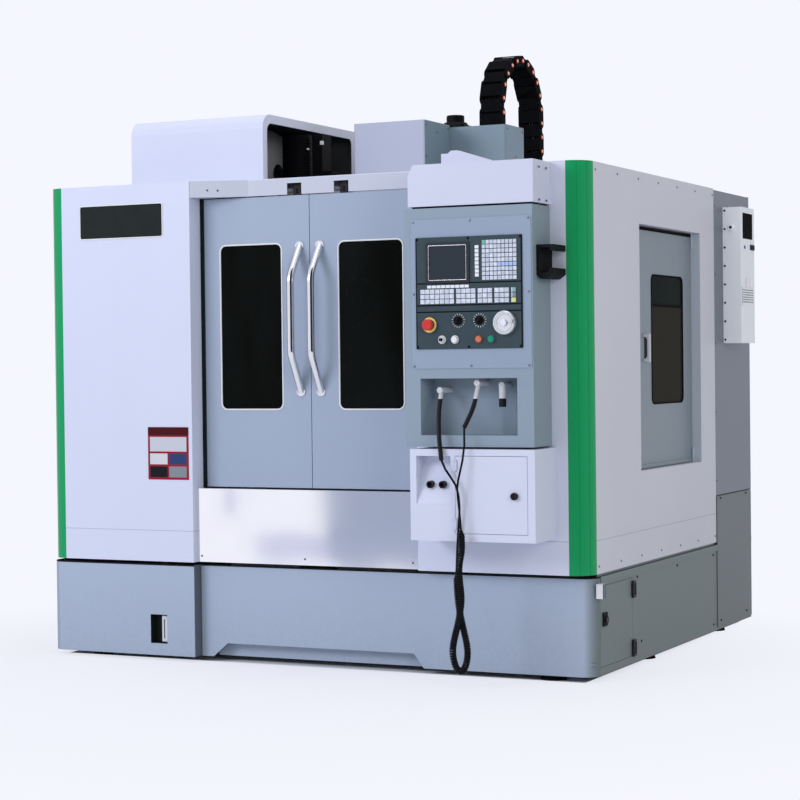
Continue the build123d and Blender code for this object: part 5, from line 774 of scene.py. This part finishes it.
def setting_out():
    """Puts one item on each point, turned to face along the point's own direction."""
    tree, given, result = node_tree("setting_out", [
        ("Item", "Object"), ("Size", "Float"), ("Finish", "Material")])
    add = tree.nodes.new
    link = tree.links.new
    item = add("GeometryNodeObjectInfo")
    facing = add("GeometryNodeInputNamedAttribute")
    facing.data_type = "FLOAT_VECTOR"
    facing.inputs["Name"].default_value = "facing"
    turn = add("FunctionNodeAlignRotationToVector")
    turn.axis = "Z"
    place = add("GeometryNodeInstanceOnPoints")
    solid = add("GeometryNodeRealizeInstances")
    paint = add("GeometryNodeSetMaterial")
    link(given.outputs["Item"], item.inputs["Object"])
    link(facing.outputs["Attribute"], turn.inputs["Vector"])
    link(given.outputs["Geometry"], place.inputs["Points"])
    link(item.outputs["Geometry"], place.inputs["Instance"])
    link(turn.outputs["Rotation"], place.inputs["Rotation"])
    link(given.outputs["Size"], place.inputs["Scale"])
    link(place.outputs["Instances"], solid.inputs["Geometry"])
    link(solid.outputs["Geometry"], paint.inputs["Geometry"])
    link(given.outputs["Finish"], paint.inputs["Material"])
    link(paint.outputs["Geometry"], result.inputs["Geometry"])
    return tree


def bead_path():
    """Sweeps a round bead along the edges of a closed line."""
    tree, given, result = node_tree("bead_path", [("Radius", "Float"), ("Finish", "Material")])
    add = tree.nodes.new
    link = tree.links.new
    line = add("GeometryNodeMeshToCurve")
    section = add("GeometryNodeCurvePrimitiveCircle")
    section.inputs["Resolution"].default_value = 10
    sweep = add("GeometryNodeCurveToMesh")
    paint = add("GeometryNodeSetMaterial")
    link(given.outputs["Geometry"], line.inputs["Mesh"])
    link(given.outputs["Radius"], section.inputs["Radius"])
    link(line.outputs["Curve"], sweep.inputs["Curve"])
    link(section.outputs["Curve"], sweep.inputs["Profile Curve"])
    link(sweep.outputs["Mesh"], paint.inputs["Geometry"])
    link(given.outputs["Finish"], paint.inputs["Material"])
    link(paint.outputs["Geometry"], result.inputs["Geometry"])
    return tree


SET_OUT = setting_out()
BEAD = bead_path()


def run_tree(tree, mesh, **values):
    """The plain mesh that a tree makes from a mesh."""
    carrier = placed("carrier", mesh)
    modifier = carrier.modifiers.new("nodes", "NODES")
    modifier.node_group = tree
    for item in tree.interface.items_tree:
        if item.in_out == "INPUT" and item.name in values:
            modifier[item.identifier] = values[item.name]
    ready = carrier.evaluated_get(bpy.context.evaluated_depsgraph_get())
    made = bpy.data.meshes.new_from_object(ready)
    carrier.modifiers.clear()
    objects.remove(carrier)
    return made


def turned(profile, sides):
    """A solid of revolution about Z from (radius, height) pairs that start and end on the axis."""
    shape = bmesh.new()
    rows = []
    for radius, height in profile:
        if radius == 0:
            rows.append([shape.verts.new((0, 0, height))])
        else:
            angles = [2 * math.pi * i / sides for i in range(sides)]
            ring = [(radius * math.cos(a), radius * math.sin(a), height) for a in angles]
            rows.append([shape.verts.new(corner) for corner in ring])
    for below, above in zip(rows, rows[1:]):
        for i in range(sides):
            j = (i + 1) % sides
            corners = [
                below[i % len(below)], below[j % len(below)],
                above[j % len(above)], above[i % len(above)]]
            unique = list(dict.fromkeys(corners))
            if len(unique) > 2:
                shape.faces.new(unique)
    bmesh.ops.recalc_face_normals(shape, faces=shape.faces)
    mesh = bpy.data.meshes.new("turned")
    shape.to_mesh(mesh)
    shape.free()
    return mesh


def bars(name, body, material, bevel, boxes):
    """Bars with rounded edges, each an (x0, x1, y0, y1, z0, z1), as one piece."""
    shape = bmesh.new()
    for x0, x1, y0, y1, z0, z1 in boxes:
        made = bmesh.ops.create_cube(shape, size=1)["verts"]
        low = spot(x0, y0, z0)
        high = spot(x1, y1, z1)
        for vert in made:
            vert.co = Vector(high[i] if vert.co[i] > 0 else low[i] for i in range(3))
    bmesh.ops.bevel(
        shape, geom=shape.edges, offset=bevel / 1000, segments=2, profile=0.7, affect="EDGES")
    bmesh.ops.recalc_face_normals(shape, faces=shape.faces)
    mesh = bpy.data.meshes.new(name)
    shape.to_mesh(mesh)
    shape.free()
    return new_piece(name, mesh, body, material)


# Items of radius 1 to set out: a pan head with a socket, a cooling fin, a pin's cap
screw_head = placed("screw_head", turned(
    [(0, -0.2), (1, -0.2), (1, 0.28), (0.82, 0.52), (0.44, 0.56), (0.40, 0.22), (0, 0.20)], 10))
cooling_fin = placed("cooling_fin", turned(
    [(0, -0.05), (1, -0.05), (1.07, -0.02), (1.07, 0.02), (1, 0.05), (0, 0.05)], 24))
pin_cap = placed("pin_cap", turned([(0, -0.1), (1, -0.1), (1, 0.12), (0.86, 0.2), (0, 0.2)], 16))

FRONT = (0, -1, 0)
RIGHT = (1, 0, 0)
LEFT = (-1, 0, 0)
TOP = (0, 0, 1)


def repeated(item, size, material, places):
    """One mesh with an item at each (x, y, z, facing), in the machine's millimetres."""
    points = bpy.data.meshes.new("points")
    points.from_pydata([spot(*place[:3]) for place in places], [], [])
    facing = points.attributes.new("facing", "FLOAT_VECTOR", "POINT")
    for entry, place in zip(facing.data, places):
        entry.vector = place[3]
    return run_tree(SET_OUT, points, Item=item, Size=size / 1000, Finish=material)


def set_out(name, body, item, size, material, places):
    """A piece of repeated items that rides on a body."""
    return new_piece(name, repeated(item, size, material, places), body)


CORNER_STEPS = 6


def bead(name, body, radius, material, corners, round_by, plane, depth):
    """A bead along a rounded rectangle, on a front (y) or side (x) plane."""
    u0, u1, v0, v1 = corners
    line = []
    for cu, cv, start in ((u1 - round_by, v1 - round_by, 0), (u0 + round_by, v1 - round_by, 90),
                          (u0 + round_by, v0 + round_by, 180), (u1 - round_by, v0 + round_by, 270)):
        for step in range(CORNER_STEPS + 1):
            a = math.radians(start + 90 * step / CORNER_STEPS)
            u = cu + round_by * math.cos(a)
            v = cv + round_by * math.sin(a)
            line.append(spot(u, depth, v) if plane == "y" else spot(depth, u, v))
    mesh = bpy.data.meshes.new(name + "_line")
    mesh.from_pydata(line, [(i, (i + 1) % len(line)) for i in range(len(line))], [])
    swept = run_tree(BEAD, mesh, Radius=radius / 1000, Finish=material)
    return new_piece(name, swept, body)


def row(first, last, count, facing):
    """Evenly spaced places between two points, with one facing."""
    shares = [i / (count - 1) for i in range(count)]
    ways = [[a + (b - a) * share for share in shares] for a, b in zip(first, last)]
    return [(*place, facing) for place in zip(*ways)]


# Screws
SIDE_X = 1143
FACEPLATE_Y = -167.5
FACEPLATE_X0 = 552
FACEPLATE_X1 = 993
small_screws = []
for z in (1642, 1131):
    small_screws += row((FACEPLATE_X0, FACEPLATE_Y, z), (FACEPLATE_X1, FACEPLATE_Y, z), 3, FRONT)
small_screws += [(x, FACEPLATE_Y, 1387, FRONT) for x in (FACEPLATE_X0, FACEPLATE_X1)]
small_screws += row((-454, 23, 410), (446, 23, 410), 3, FRONT)
small_screws += [(1015, y, z, RIGHT) for y in (-116, -49) for z in (1707, 1821)]
SLANTED = (0.34, -0.94, 0)
small_screws += [(-412, 26.4, 1814, SLANTED), (-374, 40.2, 1812, SLANTED)]
for x, facing in ((SIDE_X, RIGHT), (-SIDE_X, LEFT)):
    for z in (1822, 412):
        small_screws += row((x, 98, z), (x, 1470, z), 7, facing)
small_screws += row((SIDE_X, 1500, 1780), (SIDE_X, 1500, 640), 5, RIGHT)
small_screws += row((-SIDE_X, 1500, 1780), (-SIDE_X, 1500, 640), 6, LEFT)
for x in (-1120, 1120):
    small_screws += row((x, 130, 1850), (x, 1460, 1850), 6, TOP)
small_screws += row((-1040, 520, 1885), (-1040, 1240, 1885), 5, LEFT)
small_screws += row((-1010, 470, 1880), (-450, 470, 1880), 4, FRONT)
set_out("panel_screws", "machine", screw_head, 4.2, screw_steel, small_screws)
dark_screws = row((1151, 1614, 1766), (1151, 1614, 1226), 8, FRONT)
dark_screws += row((1158, 1626, 1780), (1158, 1790, 1780), 2, TOP)
for z in (1579, 1198):
    dark_screws += row((568, -171.5, z), (964, -171.5, z), 3, FRONT)
dark_screws += row((SIDE_X, 501, 337), (SIDE_X, 1439, 336), 3, RIGHT)
dark_screws += [(SIDE_X, 542, 92, RIGHT), (SIDE_X, 1440, 49, RIGHT)]
dark_screws += [(1146.5, y, z, RIGHT) for y in (1536, 1904) for z in (56, 566)]
set_out("black_screws", "machine", screw_head, 4.6, black_plastic, dark_screws)
hood_screws = [(160, 790, 2108, RIGHT), (160, 1004, 2108, RIGHT), (160, 790, 1980, RIGHT),
               (-160, 790, 2108, LEFT), (-160, 1004, 2108, LEFT)]
hood_screws += row((413, 1036, 2098), (413, 1194, 2098), 2, RIGHT)
for z in (2098, 1918):
    hood_screws += row((180, 1020, z), (396, 1020, z), 2, FRONT)
hood_screws += [(160, 895, 2085, RIGHT), (413, 1125, 1989, RIGHT)]
set_out("hood_screws", "head", screw_head, 4.2, screw_steel, hood_screws)
for door, hangers in (("left_door", (-400, -62)), ("right_door", (138, 440))):
    bolts = [(x, 103, z, FRONT) for x in hangers for z in (1796, 1806)]
    set_out(door + "_hanger_bolts", door, screw_head, 4.4, black_plastic, bolts)
set_out("motor_fins", "machine", cooling_fin, 60, black_coat,
        row((-490, 897, 1935), (-490, 897, 2085), 14, TOP))

# Seals round the windows, the display's frame, and rubber on the doors' edges, widened into a
# painted shadow
# The door windows' seals are pale, partly as seals and partly as a painted highlight line round the
# glass
for door, corners in (("left", (-391, -121, 972, 1603)), ("right", (121, 391, 972, 1603))):
    bead(door + "_window_seal", door + "_door",
         3.2, white_plastic, corners, 25, "y", 82.6)
bead("side_window_seal", "side_door",
     3.0, rubber, (800, 1180, 975, 1473), 25, "x", 1105.4)
bead("display_frame", "machine",
     1.6, fitting_nickel, (615, 760, 1434, 1556), 3, "y", -176.4)
# A dark strip along the left door's edge: rubber, widened as painted shadow
edge_rubber_and_shadow = moulding("edge_rubber_and_shadow", (0.010, 0.016, 0.020), roughness=0.6)
bars("door_edge_seal", "machine", edge_rubber_and_shadow, 1.0,
     [(-477.6, -461, 78.5, 82.4, 672, 1786)])

# Bare plates where the machine carries a name and a notice
plate_face = moulding("plate_face", (0.020, 0.026, 0.024), roughness=0.22, grain=0.01)
bars("name_plate", "machine", plate_face, 0.8,
     [(-977, -601, -2.2, -0.2, 1645, 1771)])
bead("name_plate_rim", "machine",
     2.4, white_plastic, (-979, -599, 1643, 1773), 9, "y", -1.2)
notice_face = moulding("notice_face", (0.30, 0.020, 0.035), roughness=0.25, grain=0.01, parts=[
    (lambda m: m.z > 874, (0.07, 0.012, 0.015), 0.3),
    (lambda m: m.box(-668, -503, -9, 9, 812, 868), (0.55, 0.57, 0.62), 0.3),
    (lambda m: m.box(-668, -589, -9, 9, 762, 804), (0.62, 0.63, 0.66), 0.3),
    (lambda m: m.box(-582, -503, -9, 9, 762, 804), (0.035, 0.060, 0.15), 0.3),
    (lambda m: m.box(-668, -589, -9, 9, 712, 754), (0.016, 0.016, 0.020), 0.3),
    (lambda m: m.box(-582, -503, -9, 9, 712, 754), (0.24, 0.25, 0.28), 0.3),
])
bars("notice_plate", "machine", notice_face, 0.6,
     [(-677, -494, -1.8, -0.2, 703, 906)])

# Cooler: bare plate, rocker switch, lamp
bars("cooler_plate", "machine", aluminium, 0.4,
     [(1225.2, 1226.4, 1668, 1738, 1444, 1485)])
bars("cooler_switch", "machine", black_plastic, 1.2,
     [(1225.2, 1229, 1734, 1790, 1604, 1626)])
bars("cooler_lamp", "machine",
     moulding("blue_lamp", (0.08, 0.14, 0.60), roughness=0.3), 1.2,
     [(1225.2, 1228, 1646, 1660, 1606, 1620)])

# Cabinet's foot panel, and dark rails that close the gap under the guard and the cabinet, as
# painted shade in that gap
foot_coat = sheet_coat("foot_panel_coat", CABINET_FOOT)
bars("cabinet_foot_panel", "machine", foot_coat, 1.2,
     [(1143.4, 1146.4, 1491, 1982, 30, 575)])
GAP = (374.6, 384.4)
bars("gap_rails", "machine", foot_coat, 0.6, [
    (1132, 1137, 96, 1970, *GAP), (-1137, -1132, 96, 1970, *GAP), (-1131, 1131, 1965, 1970, *GAP)])

# Black leaves beside the base door's knuckles, and the plate of its lock
bars("base_hinge_leaves", "machine", black_plastic, 1.2,
     [(1143.2, 1146.2, 455, 484, z - 27, z + 27) for z in (78, 296)])
bars("base_lock_plate", "base_door", black_plastic, 1.5,
     [(1143.4, 1149, 126, 168, 194, 243)])

# Side door: bar across its window, plate and screws behind its handle, and a dark strip along its
# top as painted shadow under the opening's top edge
bars("side_window_bar", "side_door", rubber, 0.6,
     [(1105.2, 1107, 801, 1179, 1352, 1361)])
bars("side_handle_plate", "side_door", black_plastic, 0.6,
     [(1105.2, 1107, 716, 744, 1136, 1245)])
set_out("side_handle_screws", "side_door", screw_head, 5.0, fitting_nickel,
        [(1107, 729, 1150, RIGHT), (1107, 729, 1231, RIGHT)])
bars("side_door_seal", "side_door", rubber, 0.8,
     [(1105.3, 1108, 566, 1290, 1640, 1651)])

# Black pane of the cooler
deep_black = moulding("deep_black", (0.003, 0.003, 0.004), index=1.03)
bars("cooler_pane", "machine", deep_black, 0.4,
     [(1223.4, 1225.2, 1626, 1768, 1648, 1756)])

# Coloured caps on the chain's pins, with pale centres as painted highlights
pin_red = moulding("pin_red", (0.75, 0.10, 0.05), roughness=0.4)
pin_highlight_pale = moulding("pin_highlight_pale", (0.95, 0.66, 0.55), roughness=0.4)
pins = [chain_line(i * CHAIN_LENGTH / CHAIN_LINKS) for i in range(1, CHAIN_LINKS)]
for name, size, material, x in (
        ("pin_rims", 9.2, pin_red, 361.4), ("pin_centres", 6.4, pin_highlight_pale, 363.4)):
    places = [(x, *pin, RIGHT) for pin in pins]
    follow_head(placed(name, repeated(pin_cap, size, material, places)))

# Sensor plugs on the tool magazine's frame
bars("magazine_plugs", "machine", white_plastic, 2, [
    (x - half, x + half, 842, 856, z - rise, z + rise) for x, z, half, rise in (
        (-347, 2065, 6, 8), (-413, 2043, 3, 4), (-358, 1911, 5, 7))])

# Small white box beside the base's corner door, its right side painted dark teal, partly as painted
# shade
box_finish = moulding("junction_box", (0.70, 0.72, 0.74), roughness=0.4, index=1.4, parts=[
    (lambda m: m.x > 1168.5, (0.05, 0.075, 0.09), 0.4)])
bars("base_side_box", "machine", box_finish, 1.5,
     [(1143.3, 1170, 64, 98, 300, 352)])

# The items that were set out are no pieces themselves
for item in (screw_head, cooling_fin, pin_cap):
    objects.remove(item)

# Floor, background and lamps
VIEW_COLOUR = (0.915, 0.925, 1.0)
SKY_COLOUR = (0.95, 0.97, 1.0)
SKY_STRENGTH = 0.50
FLOOR_HALF = 30
GLOW_NEAR = 0.85
GLOW_RISE = 0.15  # per metre
NEAR_METRES = 1.6


def sight(tree):
    """1 for what the camera, a reflection or a view through glass sees."""
    path = tree.nodes.new("ShaderNodeLightPath")
    seen = Field(tree, path.outputs["Is Camera Ray"])
    seen = seen.either(Field(tree, path.outputs["Is Glossy Ray"]))
    return seen.either(Field(tree, path.outputs["Is Transmission Ray"]))


def blended(tree, factor, plain, seen):
    """The plain shader where the factor is 0, the seen one where it is 1."""
    mixer = tree.nodes.new("ShaderNodeMixShader")
    tree.links.new(factor.socket, mixer.inputs[0])
    tree.links.new(plain, mixer.inputs[1])
    tree.links.new(seen, mixer.inputs[2])
    return mixer.outputs[0]


ground = Finish("pale_floor")
ground.set("Base Color", (0.80, 0.81, 0.84))
ground.set("Roughness", 0.9)
ground.set("Specular IOR Level", 0.1)
glow = ground.tree.nodes.new("ShaderNodeEmission")
glow.inputs["Color"].default_value = (*VIEW_COLOUR, 1)
across = ((ground.x * ground.x + ground.y * ground.y) ** 0.5) / 1000.0
beneath = ground.box(-1100, 1100, 60, 1950, -10, 10)
fade = (GLOW_NEAR + (across - NEAR_METRES) * GLOW_RISE).clipped() * (1.0 - beneath)
ground.tree.links.new(
    blended(ground.tree, sight(ground.tree) * fade, ground.shader.outputs[0], glow.outputs[0]),
    ground.tree.nodes["Material Output"].inputs["Surface"])
floor_mesh = bpy.data.meshes.new("floor")
floor_mesh.from_pydata(
    [(x * FLOOR_HALF, y * FLOOR_HALF, 0) for x, y in ((-1, -1), (1, -1), (1, 1), (-1, 1))],
    [], [(0, 1, 2, 3)])
floor = placed("floor", floor_mesh)
floor.data.materials.append(ground.material)


APRON_CARD_Y = -3500


def card(name, colour, corners):
    """A card outside the picture that polished metal shows as a darker patch."""
    finish = Finish(name)
    finish.set("Base Color", colour)
    finish.set("Roughness", 0.9)
    mesh = bpy.data.meshes.new(name)
    mesh.from_pydata([spot(*corner) for corner in corners], [], [(0, 1, 2, 3)])
    made = placed(name, mesh)
    made.data.materials.append(finish.material)
    made.visible_camera = False
    made.visible_diffuse = False
    made.visible_shadow = False


def apron_card(name, colour, x0, x1, z0, z1):
    """An upright card before the machine, for the apron to mirror."""
    corners = ((x0, z0), (x1, z0), (x1, z1), (x0, z1))
    card(name, colour, [(x, APRON_CARD_Y, z) for x, z in corners])


apron_card("grey_card", (0.48, 0.53, 0.66), -1790, -900, 0, 640)
apron_card("low_card", (0.84, 0.82, 0.97), -2200, -1790, 0, 175)
apron_card("small_card", (0.76, 0.75, 0.92), -2440, -2330, 290, 450)
card("handle_card", (0.010, 0.011, 0.013), [
    (1042, -5909, 5), (5638, -2052, 5), (5638, -2052, 9000), (1042, -5909, 9000)])

world = bpy.data.worlds.new("studio")
bpy.context.scene.world = world
world.use_nodes = True
sky = world.node_tree.nodes["Background"]
sky.inputs["Color"].default_value = (*SKY_COLOUR, 1)
sky.inputs["Strength"].default_value = SKY_STRENGTH
backdrop = world.node_tree.nodes.new("ShaderNodeBackground")
backdrop.inputs["Color"].default_value = (*VIEW_COLOUR, 1)
world.node_tree.links.new(
    blended(world.node_tree, sight(world.node_tree), sky.outputs[0], backdrop.outputs[0]),
    world.node_tree.nodes["World Output"].inputs["Surface"])


def lamp(name, place, aim, size, power, colour=(1, 1, 1), mirrored=True):
    """A soft rectangular lamp in metres and watts that looks at a point."""
    light = bpy.data.lights.new(name, "AREA")
    light.shape = "RECTANGLE"
    light.size, light.size_y = size
    light.energy = power
    light.color = colour
    made = placed(name, light)
    made.visible_glossy = mirrored
    made.location = place
    made.rotation_euler = (Vector(aim) - Vector(place)).to_track_quat("-Z", "Y").to_euler()


lamp("front_softbox", (-4.0, -7.0, 4.0), (-0.2, -0.8, 1.0), (3.5, 2.5), 290, (0.80, 0.83, 1.0))
lamp("fill_softbox", (6.0, -5.0, 3.0), (0.9, -0.5, 1.0), (3, 2.5), 95, mirrored=False)
lamp("top_softbox", (0.5, -0.5, 6.0), (0, 0, 1.0), (4, 4), 90)
